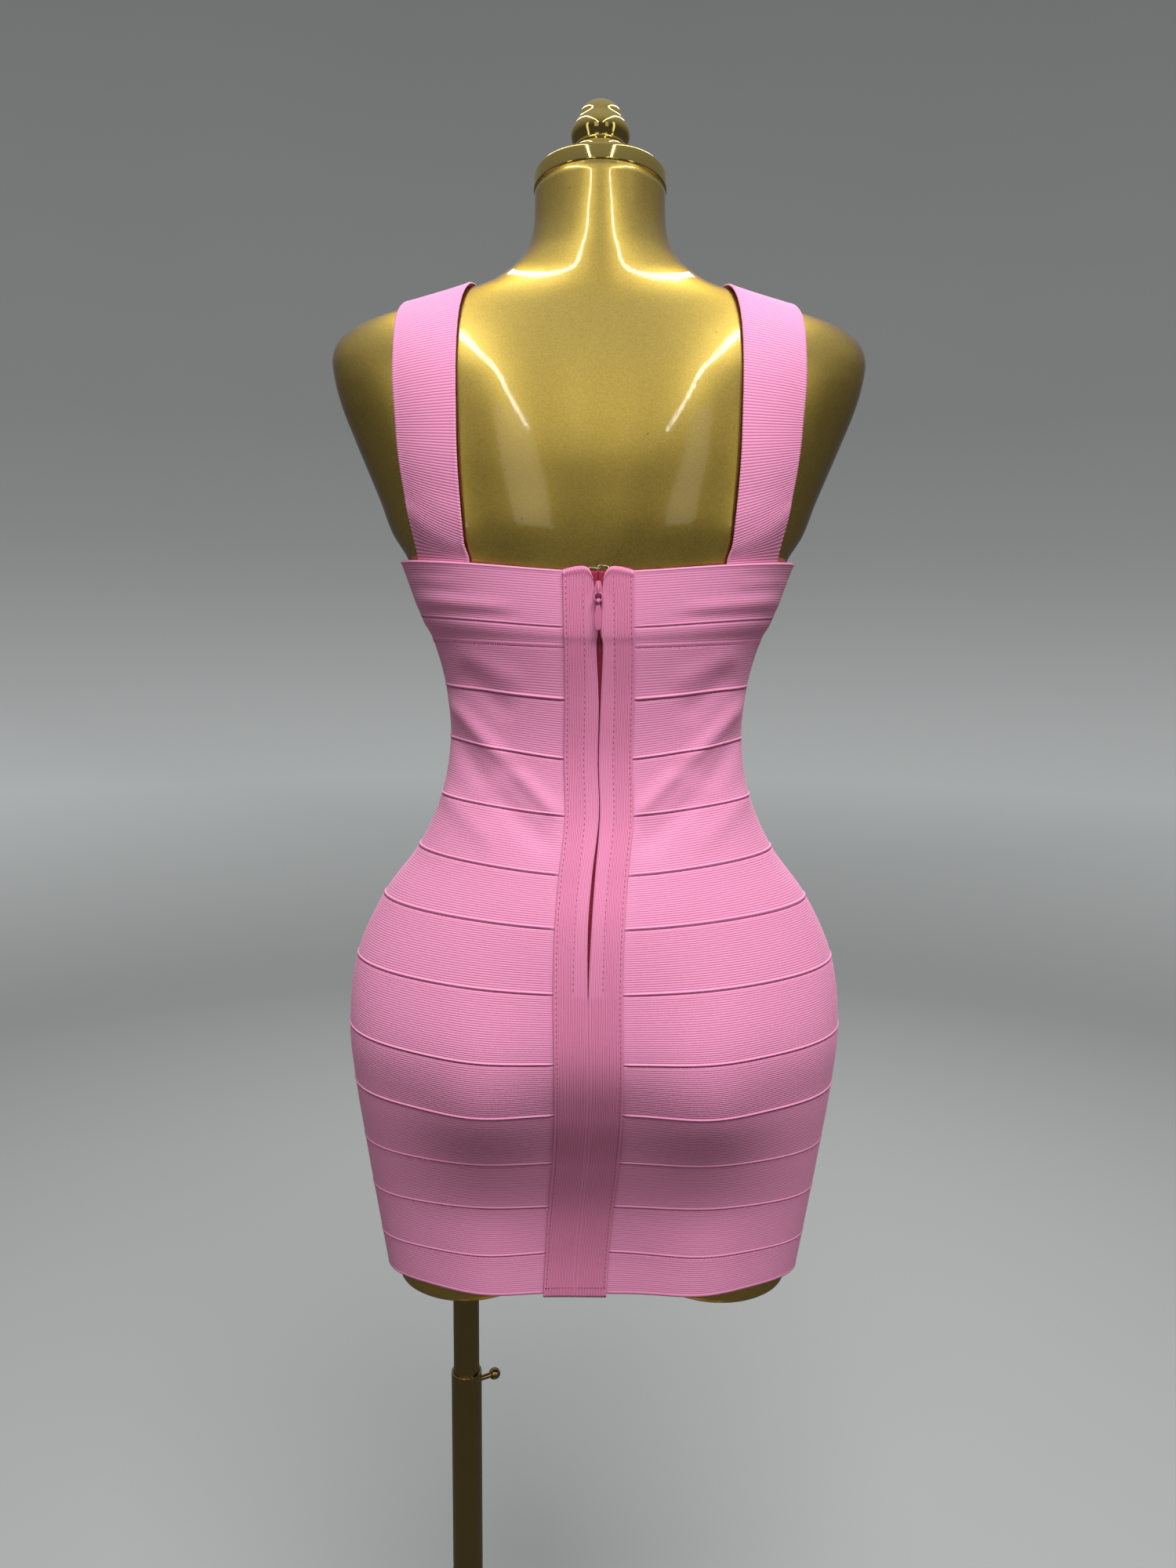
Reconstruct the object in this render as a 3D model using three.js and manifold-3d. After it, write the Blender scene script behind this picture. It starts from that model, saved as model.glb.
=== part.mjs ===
// Bodycon dress of horizontal knit bands on a limbless dress form and its telescopic stand.
// Millimetres, +Z up. The front of the dress faces -Y, the wearer's left is +X, the floor is Z = 0.
import * as THREE from "three";
import { mergeVertices } from "three/addons/utils/BufferGeometryUtils.js";
import Module from "manifold-3d";

const wasm = await Module();
wasm.setup();

// ---- driving dimensions -------------------------------------------------------------------------
const CLOTH = 1.4;            // thickness of one layer of bandage knit
const SEAM_GAP = 0.3;         // between two sewn pieces
const FORM_GAP = 1.1;         // between the cloth and the form under it
const PLACKET = 24.5;         // width of one placket strip
const TAPE = 11.5;            // width of one zip tape
const ZIP_BANDS = 8;          // bands that the zip opens, from the top
const POLE_X = 104;           // the tube stands under the wearer's left thigh
const STUB_Z = 655;           // underside of the thigh stubs
const INNER_R = 10.6, OUTER_R = 12.5, TUBE_WALL = 1.5;
const CLAMP_Z = 556, OUTER_TOP = 568;
const INNER_FOOT = 240;       // lower end of the inner tube inside the outer one
const BASE_R = 190, BASE_H = 9, SOCKET_H = 46;
const CAP_R = 48.6, CAP_H = 14, NECK_TILT = 7.8; // the neck leans forward by this many degrees
const FINIAL_R = 21.8, FINIAL_H = 54;
const STRAP_CLOTH = 1.2;      // thickness of a strap
const STRAP_OUT = 2.3;        // from the form to the outside of a strap
const SHANK_R = 2.2;          // shank of the clamp screw
const RUNNING = 0.09;         // clearance of what turns or slides
const CLAMP_AIM = 31;         // degrees from the wearer's right towards the front
const ZIP_Z = 1207;           // height of the closed zip's slider
const LOOP_R = 2.9, LOOP_T = 0.7; // the link between the slider and its pull

// The dress from its top edge down. Each row is an edge or a seam between two bands:
// side, back, face: height at the sides, the centre back and the centre front.
// half: half width; rear, fore: depth behind and in front of the axis; nb, nf: how square the back
// and the front are; seat: how far the two seat mounds stand out; zip: where the back opening runs;
// slit: half width of the opening between the plackets; hollow: how much further in the form lies
// at the centre back, where the cloth bridges it.
const LEVELS = [
  { side: 1231, back: 1221, face: 1264, half: 148.5, rear: 92, fore: 112, nb: 2.3, nf: 2.3,
    seat: 0, zip: 0, slit: 3.6, hollow: 0 },
  { side: 1190, back: 1182, face: 1216, half: 133.5, rear: 89, fore: 113, nb: 2.2, nf: 2.2,
    seat: 0, zip: -0.8, slit: 0.9, hollow: 2 },
  { side: 1172, back: 1168, face: 1194, half: 124.5, rear: 86, fore: 109, nb: 2.1, nf: 2.2,
    seat: 0, zip: -1.4, slit: 2.2, hollow: 4 },
  { side: 1138, back: 1130, face: 1150, half: 115.5, rear: 78, fore: 98, nb: 2, nf: 2.1,
    seat: 0, zip: -1.8, slit: 0.7, hollow: 8 },
  { side: 1098, back: 1087, face: 1102, half: 112.5, rear: 73, fore: 89, nb: 2, nf: 2.1,
    seat: 0, zip: -1.2, slit: 0.35, hollow: 12 },
  { side: 1055, back: 1047, face: 1056, half: 119.5, rear: 78, fore: 90, nb: 1.95, nf: 2.1,
    seat: 0, zip: -2.2, slit: 0.35, hollow: 12 },
  { side: 1014, back: 1007, face: 1012, half: 138, rear: 93, fore: 98, nb: 1.85, nf: 2.1,
    seat: 0, zip: 1.7, slit: 1.1, hollow: 9 },
  { side: 975, back: 971, face: 972, half: 166, rear: 106, fore: 104, nb: 1.8, nf: 2.1,
    seat: 0, zip: 4.2, slit: 1.2, hollow: 5 },
  { side: 928, back: 926, face: 926, half: 187, rear: 113, fore: 106, nb: 1.95, nf: 2.2,
    seat: 2, zip: 5, slit: 0.25, hollow: 4 },
  { side: 876, back: 876, face: 876, half: 192.7, rear: 114.5, fore: 104, nb: 2.25, nf: 2.3,
    seat: 7, zip: 4.2, slit: 0.15, hollow: 8 },
  { side: 830, back: 834, face: 830, half: 189, rear: 102, fore: 100, nb: 2.4, nf: 2.4,
    seat: 11, zip: 4.2, slit: 0.15, hollow: 10 },
  { side: 784, back: 788, face: 784, half: 182.5, rear: 81, fore: 95, nb: 2.7, nf: 2.6,
    seat: 5, zip: 6, slit: 0.15, hollow: 6 },
  { side: 743, back: 745, face: 743, half: 176.5, rear: 64, fore: 91, nb: 3, nf: 2.8,
    seat: 4, zip: 9.3, slit: 0.15, hollow: 0 },
  { side: 702, back: 704, face: 702, half: 170.5, rear: 55.5, fore: 87, nb: 3, nf: 2.8,
    seat: 8, zip: 12, slit: 0.15, hollow: 0 },
  { side: 671, back: 668, face: 671, half: 166, rear: 53, fore: 84, nb: 2.8, nf: 2.8,
    seat: 10, zip: 13.7, slit: 0.15, hollow: 0 },
];
const BUST_X = 80, BUST_Z = 1222, BUST_W = 44, BUST_H = 46, BUST_OUT = 25;
const SEAT_X = 84, SEAT_W = 40;

// The form above the dress: horizontal rings up to the top of the neck.
const SHOULDERS = [
  { z: 1252, face: 1275, half: 154.5, rear: 91, fore: 103, nb: 2.3, nf: 2.3 },
  { z: 1275, face: 1289, half: 163, rear: 92, fore: 100, nb: 2.3, nf: 2.3 },
  { z: 1298, face: 1305, half: 172.5, rear: 92, fore: 96, nb: 2.3, nf: 2.3 },
  { z: 1321, half: 182, rear: 90, fore: 90, nb: 2.3, nf: 2.3 },
  { z: 1343, half: 190.5, rear: 86.5, fore: 82, nb: 2.35, nf: 2.35 },
  { z: 1362, half: 195.5, rear: 82, fore: 74, nb: 2.4, nf: 2.4 },
  { z: 1378, half: 197, rear: 76, fore: 65.5, nb: 2.4, nf: 2.4 },
  { z: 1390, half: 192.5, rear: 71, fore: 58.5, nb: 2.3, nf: 2.3 },
  { z: 1400, half: 181.5, rear: 66.5, fore: 53, nb: 2.1, nf: 2.1 },
  { z: 1408, half: 163, rear: 63, fore: 49.5, nb: 1.95, nf: 1.95 },
  { z: 1416, half: 136, rear: 60.5, fore: 47, nb: 1.85, nf: 1.85 },
  { z: 1424, half: 107, rear: 59, fore: 45.5, nb: 1.85, nf: 1.85 },
  { z: 1432, half: 83, rear: 57.8, fore: 44.8, nb: 1.9, nf: 1.9 },
  { z: 1442, half: 66, rear: 56.2, fore: 44.2, nb: 2, nf: 2 },
  { z: 1454, half: 55, rear: 54.3, fore: 44.2, nb: 2, nf: 2 },
  { z: 1468, half: 49.8, rear: 52, fore: 45, nb: 2, nf: 2 },
  { z: 1483, half: 48.2, rear: 49.8, fore: 46.6, nb: 2, nf: 2 },
];
const NECK_TOP = 1497; // height of the neck's top at its axis, before the lean

// The thigh stubs: centre, half width and depth of each ring.
const THIGH = [
  { z: STUB_Z, cx: 101.5, hx: 55, cy: -11, hy: 53.5 },
  { z: STUB_Z + 5, cx: 101.5, hx: 58, cy: -11, hy: 57 },
  { z: 675, cx: 100.5, hx: 59.5, cy: -11, hy: 58 },
  { z: 704, cx: 97.5, hx: 64, cy: -11, hy: 60 },
  { z: 738, cx: 93, hx: 72, cy: -13, hy: 63 },
  { z: 772, cx: 88.5, hx: 75, cy: -13, hy: 63 },
  { z: 800, cx: 86, hx: 72, cy: -8, hy: 62 },
];
const CROTCH = 752;

// The straps' centre line, from behind the top band, over the shoulder, to the front: distance from
// the middle of the body, and the angle round the shoulder from straight back (0) to straight down
// the front.
const STRAP_HUB = 1330;
const STRAP = [
  { turn: -50, x: 113, w: 41 }, { turn: -36, x: 116, w: 42 },
  { turn: -20, x: 118, w: 43 }, { turn: 0, x: 119, w: 44 }, { turn: 20, x: 120, w: 45 },
  { turn: 40, x: 120, w: 45 }, { turn: 58, x: 119, w: 46 }, { turn: 74, x: 116, w: 47 },
  { turn: 90, x: 113, w: 47 }, { turn: 106, x: 113, w: 46 }, { turn: 122, x: 114, w: 45 },
  { turn: 140, x: 115, w: 44 }, { turn: 160, x: 115, w: 43 }, { turn: 180, x: 114, w: 43 },
  { turn: 200, x: 113, w: 43 }, { turn: 216, x: 112, w: 43 },
];
const STRAP_FOOT = { x: 112, w: 41 }, STRAP_HEAD = { x: 111.5, w: 43 }; // behind and in front
const SIDES = 44; // columns of vertices round the dress

// ---- the surface --------------------------------------------------------------------------------
const DEG = Math.PI / 180;
const clamp = (v, a, b) => Math.max(a, Math.min(b, v));

// A smooth curve through evenly numbered values, used between two rows of a table.
function through(rows, key, u) {
  const n = rows.length - 1, i = clamp(Math.floor(u), 0, n - 1), t = u - i;
  const v = (k) => rows[clamp(k, 0, n)][key];
  const a = v(i), b = v(i + 1);
  const m0 = i > 0 ? (b - v(i - 1)) / 2 : b - a, m1 = i < n - 1 ? (v(i + 2) - a) / 2 : b - a;
  const t2 = t * t, t3 = t2 * t;
  return (2 * t3 - 3 * t2 + 1) * a + (t3 - 2 * t2 + t) * m0 + (3 * t2 - 2 * t3) * b + (t3 - t2) * m1;
}

// The outside of the dress at row u and at an angle from the centre back towards the wearer's left.
function skin(u, angle) {
  const s = Math.sin(angle), c = Math.cos(angle);
  const get = (k) => through(LEVELS, k, u);
  const half = get("half"), deep = c > 0 ? get("rear") : get("fore"), n = c > 0 ? get("nb") : get("nf");
  const r = (Math.abs(s / half) ** n + Math.abs(c / deep) ** n) ** (-1 / n);
  const z = get("side") + (c > 0 ? get("back") - get("side") : get("face") - get("side")) * c * c;
  const p = new THREE.Vector3(r * s, r * c, z);
  const side = Math.abs(p.x);
  if (c > 0) {
    const d = (side - SEAT_X) / SEAT_W;
    p.y += get("seat") * Math.exp(-d * d) * clamp(c * 4, 0, 1);
  } else {
    const d = (side - BUST_X) / BUST_W, h = (z - BUST_Z) / BUST_H;
    const across = side < BUST_X ? 1 - 0.1 * (1 - side / BUST_X) ** 2 : Math.exp(-d * d);
    p.y -= BUST_OUT * across * Math.exp(-h * h) * clamp(-c * 3, 0, 1);
  }
  return p;
}
function skinNormal(u, angle) {
  const e = 0.02, u0 = clamp(u - e, 0, LEVELS.length - 1), u1 = clamp(u + e, 0, LEVELS.length - 1);
  const down = skin(u1, angle).sub(skin(u0, angle));
  const round = skin(u, angle + e).sub(skin(u, angle - e));
  return round.cross(down).normalize();
}
// The angle at which row u passes a given x near the centre back.
function angleAt(u, x) {
  let a = -1.2, b = 1.2;
  for (let i = 0; i < 50; i++) {
    const m = (a + b) / 2;
    if (skin(u, m).x < x) a = m; else b = m;
  }
  return (a + b) / 2;
}
// Moves out by `out` along the normal.
const onSkin = (u, angle, out) => skin(u, angle).addScaledVector(skinNormal(u, angle), out);

// The columns shared by every piece at row u: the back opening, the tape's edge, the placket's edge,
// then evenly round the body to the same three on the other side.
function columns(u) {
  const x = through(LEVELS, "zip", u), left = angleAt(u, x + PLACKET), right = angleAt(u, x - PLACKET);
  const out = [angleAt(u, x), angleAt(u, x + TAPE + 0.5), left];
  const n = SIDES - 4, span = 2 * Math.PI + right - left;
  for (let i = 1; i < n; i++) {
    const t = i / n;
    out.push(left + span * (t + 0.02 * Math.sin(4 * Math.PI * t)));
  }
  out.push(2 * Math.PI + right, 2 * Math.PI + angleAt(u, x - TAPE - 0.5), 2 * Math.PI + angleAt(u, x));
  return out;
}

// ---- meshes -------------------------------------------------------------------------------------
function solid(geometry) {
  const g = geometry.index ? geometry.toNonIndexed() : geometry.clone();
  const bare = new THREE.BufferGeometry().setAttribute("position", g.getAttribute("position"));
  const merged = mergeVertices(bare, 1e-3);
  return new wasm.Manifold(new wasm.Mesh({
    numProp: 3, vertProperties: merged.attributes.position.array,
    triVerts: new Uint32Array(merged.index.array),
  }));
}
function fromSolid(s) {
  const m = s.getMesh(), n = m.numProp, v = new Float32Array(m.numVert * 3);
  for (let i = 0; i < m.numVert; i++) v.set(m.vertProperties.subarray(i * n, i * n + 3), i * 3);
  return new THREE.BufferGeometry().setAttribute("position", new THREE.BufferAttribute(v, 3))
    .setIndex(new THREE.BufferAttribute(m.triVerts, 1));
}
function indexed(points, faces) {
  const g = new THREE.BufferGeometry();
  g.setAttribute("position", new THREE.Float32BufferAttribute(points.flatMap((p) => p.toArray()), 3));
  g.setIndex(faces.flat());
  return g;
}
// A sheet from two grids of points, the outside and the inside, joined round their edges.
function sheet(outer, inner) {
  const rows = outer.length, cols = outer[0].length, faces = [];
  const at = (side, i, j) => side * rows * cols + i * cols + j;
  const quad = (a, b, c, d) => faces.push([a, c, b], [a, d, c]);
  for (let i = 0; i + 1 < rows; i++)
    for (let j = 0; j + 1 < cols; j++) {
      quad(at(0, i, j), at(0, i + 1, j), at(0, i + 1, j + 1), at(0, i, j + 1));
      quad(at(1, i, j), at(1, i, j + 1), at(1, i + 1, j + 1), at(1, i + 1, j));
    }
  for (let j = 0; j + 1 < cols; j++) {
    quad(at(0, 0, j), at(0, 0, j + 1), at(1, 0, j + 1), at(1, 0, j));
    quad(at(0, rows - 1, j), at(1, rows - 1, j), at(1, rows - 1, j + 1), at(0, rows - 1, j + 1));
  }
  for (let i = 0; i + 1 < rows; i++) {
    quad(at(0, i, 0), at(1, i, 0), at(1, i + 1, 0), at(0, i + 1, 0));
    quad(at(0, i, cols - 1), at(0, i + 1, cols - 1), at(1, i + 1, cols - 1), at(1, i, cols - 1));
  }
  return indexed([...outer.flat(), ...inner.flat()], faces);
}
// A solid through closed rings listed from the bottom up, each counter-clockwise seen from above.
function loft(rings) {
  const n = rings[0].length, faces = [], points = rings.flat();
  for (let i = 0; i + 1 < rings.length; i++)
    for (let j = 0; j < n; j++) {
      const k = (j + 1) % n, a = i * n + j, b = i * n + k, c = (i + 1) * n + k, d = (i + 1) * n + j;
      faces.push([a, b, c], [a, c, d]);
    }
  for (const [i, flip] of [[0, true], [rings.length - 1, false]]) {
    const mid = rings[i].reduce((s, p) => s.add(p), new THREE.Vector3()).divideScalar(n);
    points.push(mid);
    for (let j = 0; j < n; j++) {
      const a = i * n + j, b = i * n + (j + 1) % n;
      faces.push(flip ? [points.length - 1, b, a] : [points.length - 1, a, b]);
    }
  }
  return indexed(points, faces);
}
const lathe = (profile, n) => {
  const g = new THREE.LatheGeometry(profile.map(([r, z]) => new THREE.Vector2(r, z)), n);
  return g.rotateX(Math.PI / 2);
};
function wire(points, radius, steps, sides = 8) {
  const shape = new THREE.Shape(), ring = [];
  for (let i = 0; i < sides; i++) {
    const a = (i / sides) * 2 * Math.PI;
    ring.push([radius * Math.cos(a), radius * Math.sin(a)]);
  }
  shape.moveTo(...ring[0]);
  ring.slice(1).forEach((p) => shape.lineTo(...p));
  shape.closePath();
  const path = new THREE.CatmullRomCurve3(points.map((p) => new THREE.Vector3(...p)));
  return new THREE.ExtrudeGeometry(shape, { steps, extrudePath: path, curveSegments: 1 });
}

const KNIT = { color: 0xf09ac4, roughness: 0.85, metalness: 0 };
const RIB = { color: 0xe98bb8, roughness: 0.88, metalness: 0 };
const PINK_METAL = { color: 0xe993bf, roughness: 0.35, metalness: 0.2 };
const GOLD_PAINT = { color: 0xb08a35, roughness: 0.28, metalness: 0.7 };
const PLATE = { color: 0xb5933c, roughness: 0.12, metalness: 1 };
const WIRE = { color: 0xc9c2a8, roughness: 0.25, metalness: 1 };

const dress = new THREE.Group();
const stand = new THREE.Group();
const form = new THREE.Group();
stand.add(form);
form.add(dress);
function add(group, name, geometry, look) {
  const mesh = new THREE.Mesh(geometry, new THREE.MeshStandardMaterial(look));
  mesh.name = name;
  group.add(mesh);
  return mesh;
}

// ---- the dress ----------------------------------------------------------------------------------
// One strip of cloth between rows u0 and u1 and between two columns, moved out by `out`.
function strip(u0, u1, rows, angles, out) {
  const outer = [], inner = [];
  for (let i = 0; i <= rows; i++) {
    const u = u0 + ((u1 - u0) * i) / rows, list = angles(u);
    outer.push(list.map((a) => onSkin(u, a, out)));
    inner.push(list.map((a) => onSkin(u, a, out - CLOTH)));
  }
  return sheet(outer, inner);
}
// How much of a row number is half the gap at a seam.
const halfGap = (k) => SEAM_GAP / 2 / Math.abs(LEVELS[k].side - LEVELS[k + 1].side);
for (let k = 0; k + 1 < LEVELS.length; k++) {
  const name = "band_" + String(k + 1).padStart(2, "0");
  const g = halfGap(k), zipped = k < ZIP_BANDS;
  const angles = (u) => {
    const all = columns(u), x = through(LEVELS, "zip", u);
    if (zipped) return all.slice(1, -1);
    return [angleAt(u, x + SEAM_GAP / 2), ...all.slice(1, -1), 2 * Math.PI + angleAt(u, x - SEAM_GAP / 2)];
  };
  add(dress, name, strip(k + g, k + 1 - g, 1, angles, 0), KNIT);
}
// The zip tapes fill the bands' layer between the band ends, and the plackets lie on both.
const LIFT = CLOTH + SEAM_GAP;
for (const [name, s] of [["left", 1], ["right", -1]]) {
  const at = (u, d) => angleAt(u, through(LEVELS, "zip", u) + s * d);
  const order = (list) => (s > 0 ? list : list.reverse());
  add(dress, "zip_tape_" + name, strip(0, ZIP_BANDS - 0.005, ZIP_BANDS,
    (u) => order([at(u, SEAM_GAP / 2), at(u, TAPE)]), 0), RIB);
  add(dress, "placket_" + name, strip(0, LEVELS.length - 1, LEVELS.length - 1,
    (u) => order([at(u, Math.max(SEAM_GAP / 2, through(LEVELS, "slit", u))), at(u, TAPE + 0.5),
      at(u, PLACKET)]), LIFT), RIB);
}

// ---- the form -----------------------------------------------------------------------------------
// Under the dress it follows the cloth, further in where the cloth bridges a hollow.
function formRing(k) {
  const row = LEVELS[k], tuck = k === 0 ? 3.3 : k === 1 ? 2.6 : 0;
  return columns(k).slice(0, -1).map((a) => {
    const p = onSkin(k, a, -(CLOTH + FORM_GAP + tuck)), c = Math.cos(a);
    if (c > 0) p.y -= row.hollow * Math.exp(-((p.x / 42) ** 2));
    if (c < 0) {
      const h = (p.z - BUST_Z) / BUST_H, d = (Math.abs(p.x) - BUST_X) / BUST_W;
      if (Math.abs(p.x) < BUST_X)
        p.y += BUST_OUT * Math.exp(-h * h) * (0.95 - Math.exp(-d * d)) * clamp(-c * 3, 0, 1) * 0.9;
    }
    return p;
  });
}
const ringAt = (row, angles) => angles.map((a) => {
  const s = Math.sin(a), c = Math.cos(a), n = c > 0 ? row.nb : row.nf, d = c > 0 ? row.rear : row.fore;
  const r = (Math.abs(s / row.half) ** n + Math.abs(c / d) ** n) ** (-1 / n);
  const z = row.z + (c < 0 && row.face ? (row.face - row.z) * c * c : 0);
  let y = r * c;
  if (c < 0) {
    const h = (z - BUST_Z) / BUST_H, e = (Math.abs(r * s) - BUST_X) / BUST_W;
    y -= BUST_OUT * Math.exp(-h * h) * Math.exp(-e * e) * clamp(-c * 3, 0, 1) * 0.8;
  }
  return new THREE.Vector3(r * s, y, z);
});
const even = Array.from({ length: SIDES }, (_, i) => (i / SIDES) * 2 * Math.PI);
const topAngles = columns(0).slice(0, -1);
// From the dress's own columns to even ones over the first rings above it.
const blend = (t) => topAngles.map((a, i) => a + (even[i] - a) * clamp(t, 0, 1));
const torso = [];
const low = LEVELS.length - 3; // the last dress row that the torso itself fills
const waistDown = [];
for (let k = low; k >= 0; k--) waistDown.push(formRing(k));
const bottom = waistDown[0];
const shrink = (f, z) => bottom.map((p) => new THREE.Vector3(p.x * f, p.y * f - 8 * (1 - f), z));
torso.push(shrink(0.45, CROTCH - 21), shrink(0.8, CROTCH - 14), ...waistDown);
SHOULDERS.forEach((row, i) => torso.push(ringAt(row, blend((i + 1) / 4))));
const tilt = Math.tan(NECK_TILT * DEG);
torso.push(ringAt({ z: NECK_TOP, half: 48, rear: 48, fore: 48, nb: 2, nf: 2 }, even)
  .map((p) => p.setZ(p.z + p.y * tilt)));
const upward = (ring) => ring.slice().reverse(); // angles run clockwise seen from above
let body = solid(loft(torso.map(upward)));
for (const s of [1, -1]) {
  const rings = THIGH.map((row) => even.filter((_, i) => i % 2 === 0).map((a) =>
    new THREE.Vector3(s * row.cx + row.hx * Math.sin(a), row.cy + row.hy * Math.cos(a), row.z)));
  body = body.add(solid(loft(rings.map(upward))));
}
add(form, "dress_form", fromSolid(body), GOLD_PAINT);

// ---- the straps ---------------------------------------------------------------------------------
// Rows of the form as one table in height, to find its surface at a point over the shoulder.
const PROFILE = [...LEVELS.slice(0, 6).reverse().map((r) => ({ z: r.side, half: r.half - 5, rear: r.rear - 5,
  fore: r.fore - 5, nb: r.nb, nf: r.nf })), ...SHOULDERS];
function depthTest(x, y, z) {
  let i = 0;
  while (i < PROFILE.length - 2 && PROFILE[i + 1].z < z) i++;
  const a = PROFILE[i], b = PROFILE[i + 1], t = clamp((z - a.z) / (b.z - a.z), 0, 1);
  const mix = (k) => a[k] + (b[k] - a[k]) * t;
  const n = y > 0 ? mix("nb") : mix("nf");
  let d = y > 0 ? mix("rear") : mix("fore");
  if (y < 0) {
    const h = (z - BUST_Z) / BUST_H, e = (Math.abs(x) - BUST_X) / BUST_W;
    d += BUST_OUT * Math.exp(-h * h) * Math.exp(-e * e);
  }
  return Math.abs(x / mix("half")) ** n + Math.abs(y / d) ** n - 1;
}
function overShoulder(x, turn, out) {
  const dy = Math.cos(turn * DEG), dz = Math.sin(turn * DEG);
  let a = 0, b = 260;
  for (let i = 0; i < 50; i++) {
    const m = (a + b) / 2;
    if (depthTest(x, m * dy, STRAP_HUB + m * dz) < 0) a = m; else b = m;
  }
  const p = new THREE.Vector3(x, a * dy, STRAP_HUB + a * dz), e = 2;
  const f = (q) => depthTest(q.x, q.y, q.z);
  const grad = new THREE.Vector3(...["x", "y", "z"].map((k) => {
    const q1 = p.clone(), q0 = p.clone();
    q1[k] += e; q0[k] -= e;
    return f(q1) - f(q0);
  })).normalize();
  return p.addScaledVector(grad, out);
}
// The angle at which row u passes a given x, behind or in front, on the wearer's left.
function angleBeside(u, x, front) {
  let a = front ? Math.PI : 0, b = front ? 1.75 : 1.4;
  for (let i = 0; i < 50; i++) {
    const m = (a + b) / 2;
    if (skin(u, m).x < x) a = m; else b = m;
  }
  return (a + b) / 2;
}
const ACROSS = [0.5, 0.17, -0.17, -0.5];
// Outside and inside of one row across a strap: place(depth) gives its points that far below the outside.
const strapRow = (place) => [place(0), place(STRAP_CLOTH)];
const strapRows = [];
const tucked = (end, front) => [0.34, 0.17, 0].forEach((u) => strapRows.push(strapRow((depth) =>
  ACROSS.map((e) => {
    // on the flat of the top band, so that the strap stays clear of it
    const a = angleBeside(u, end.x + e * end.w, front), d = -(CLOTH + 1.6 + depth);
    return onSkin(0, a, d).lerp(onSkin(1, a, d), u);
  }))));
tucked(STRAP_FOOT, false);
for (let i = 0; i <= 2 * (STRAP.length - 1); i++) {
  const get = (k) => through(STRAP, k, i / 2), x = get("x"), w = get("w"), t = get("turn");
  const lift = STRAP_OUT + 1.8 * clamp((t - 185) / 20, 0, 1); // it stands off where it meets the bust
  strapRows.push(strapRow((depth) =>
    ACROSS.map((e) => overShoulder(x + e * w, t, lift + STRAP_CLOTH - depth))));
}
const headStart = strapRows.length;
tucked(STRAP_HEAD, true);
strapRows.push(...strapRows.splice(headStart).reverse());
for (const [name, s] of [["left", 1], ["right", -1]]) {
  const side = (k) => strapRows.map((row) => {
    const list = row[k].map((p) => new THREE.Vector3(s * p.x, p.y, p.z));
    return s > 0 ? list : list.reverse();
  });
  add(dress, "strap_" + name, sheet(side(0), side(1)), RIB);
}

// ---- neck cap and finial ------------------------------------------------------------------------
const cap = new THREE.Group();
cap.position.set(0, 0, NECK_TOP);
cap.rotation.x = NECK_TILT * DEG;
form.add(cap);
add(cap, "neck_cap", lathe([[0, 0.4], [CAP_R - 1, 0.4], [CAP_R, 1.4], [CAP_R, CAP_H - 2.6],
  [CAP_R - 1, CAP_H - 0.8], [CAP_R - 3, CAP_H], [0, CAP_H]], 48), PLATE);
const f0 = CAP_H + 0.3, R = FINIAL_R;
add(cap, "finial", lathe([[0, f0], [18, f0], [20.2, f0 + 3], [21.4, f0 + 7], [R, f0 + 11],
  [21.2, f0 + 15], [19.2, f0 + 18.4], [18.4, f0 + 20.2], [19.4, f0 + 22.2], [21.3, f0 + 26], [R, f0 + 29.5],
  [21, f0 + 33], [18.6, f0 + 37], [17.4, f0 + 39], [16.2, f0 + 43.4], [13.2, f0 + 48],
  [9, f0 + 51.6], [4.4, f0 + 53.6], [0, f0 + FINIAL_H]], 24), PLATE);

// ---- tubes and base -----------------------------------------------------------------------------
const pole = new THREE.Group();
pole.position.set(POLE_X, 0, 0);
stand.add(pole);
add(pole, "inner_tube", lathe([[INNER_R - TUBE_WALL, INNER_FOOT], [INNER_R, INNER_FOOT],
  [INNER_R, STUB_Z - 0.4], [0, STUB_Z - 0.4], [0, STUB_Z - 8], [INNER_R - TUBE_WALL, STUB_Z - 8],
  [INNER_R - TUBE_WALL, INNER_FOOT]], 32), PLATE);
const TUBE_BORE = INNER_R + RUNNING;
let outerTube = solid(lathe([[TUBE_BORE, BASE_H + 0.4], [OUTER_R, BASE_H + 0.4], [OUTER_R, OUTER_TOP],
  [TUBE_BORE, OUTER_TOP], [TUBE_BORE, BASE_H + 0.4]], 32));
const bore = new THREE.CylinderGeometry(SHANK_R + RUNNING, SHANK_R + RUNNING, 6, 16)
  .rotateZ(Math.PI / 2).translate(-OUTER_R, 0, CLAMP_Z).applyMatrix4(
    new THREE.Matrix4().makeRotationZ(CLAMP_AIM * DEG));
outerTube = outerTube.subtract(solid(bore));
add(pole, "outer_tube", fromSolid(outerTube), PLATE);
const screw = new THREE.Group();
screw.position.set(0, 0, CLAMP_Z);
screw.rotation.z = CLAMP_AIM * DEG;
pole.add(screw);
add(screw, "clamp_screw", lathe([[0, INNER_R + 0.35], [SHANK_R, INNER_R + 0.35],
  [SHANK_R, OUTER_R + 9], [3.2, OUTER_R + 9.6], [4.4, OUTER_R + 11.2], [4.8, OUTER_R + 13.4],
  [4.4, OUTER_R + 15.6], [2.8, OUTER_R + 17.6], [0, OUTER_R + 18.2]], 20)
  .rotateY(-Math.PI / 2), PLATE);
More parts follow.
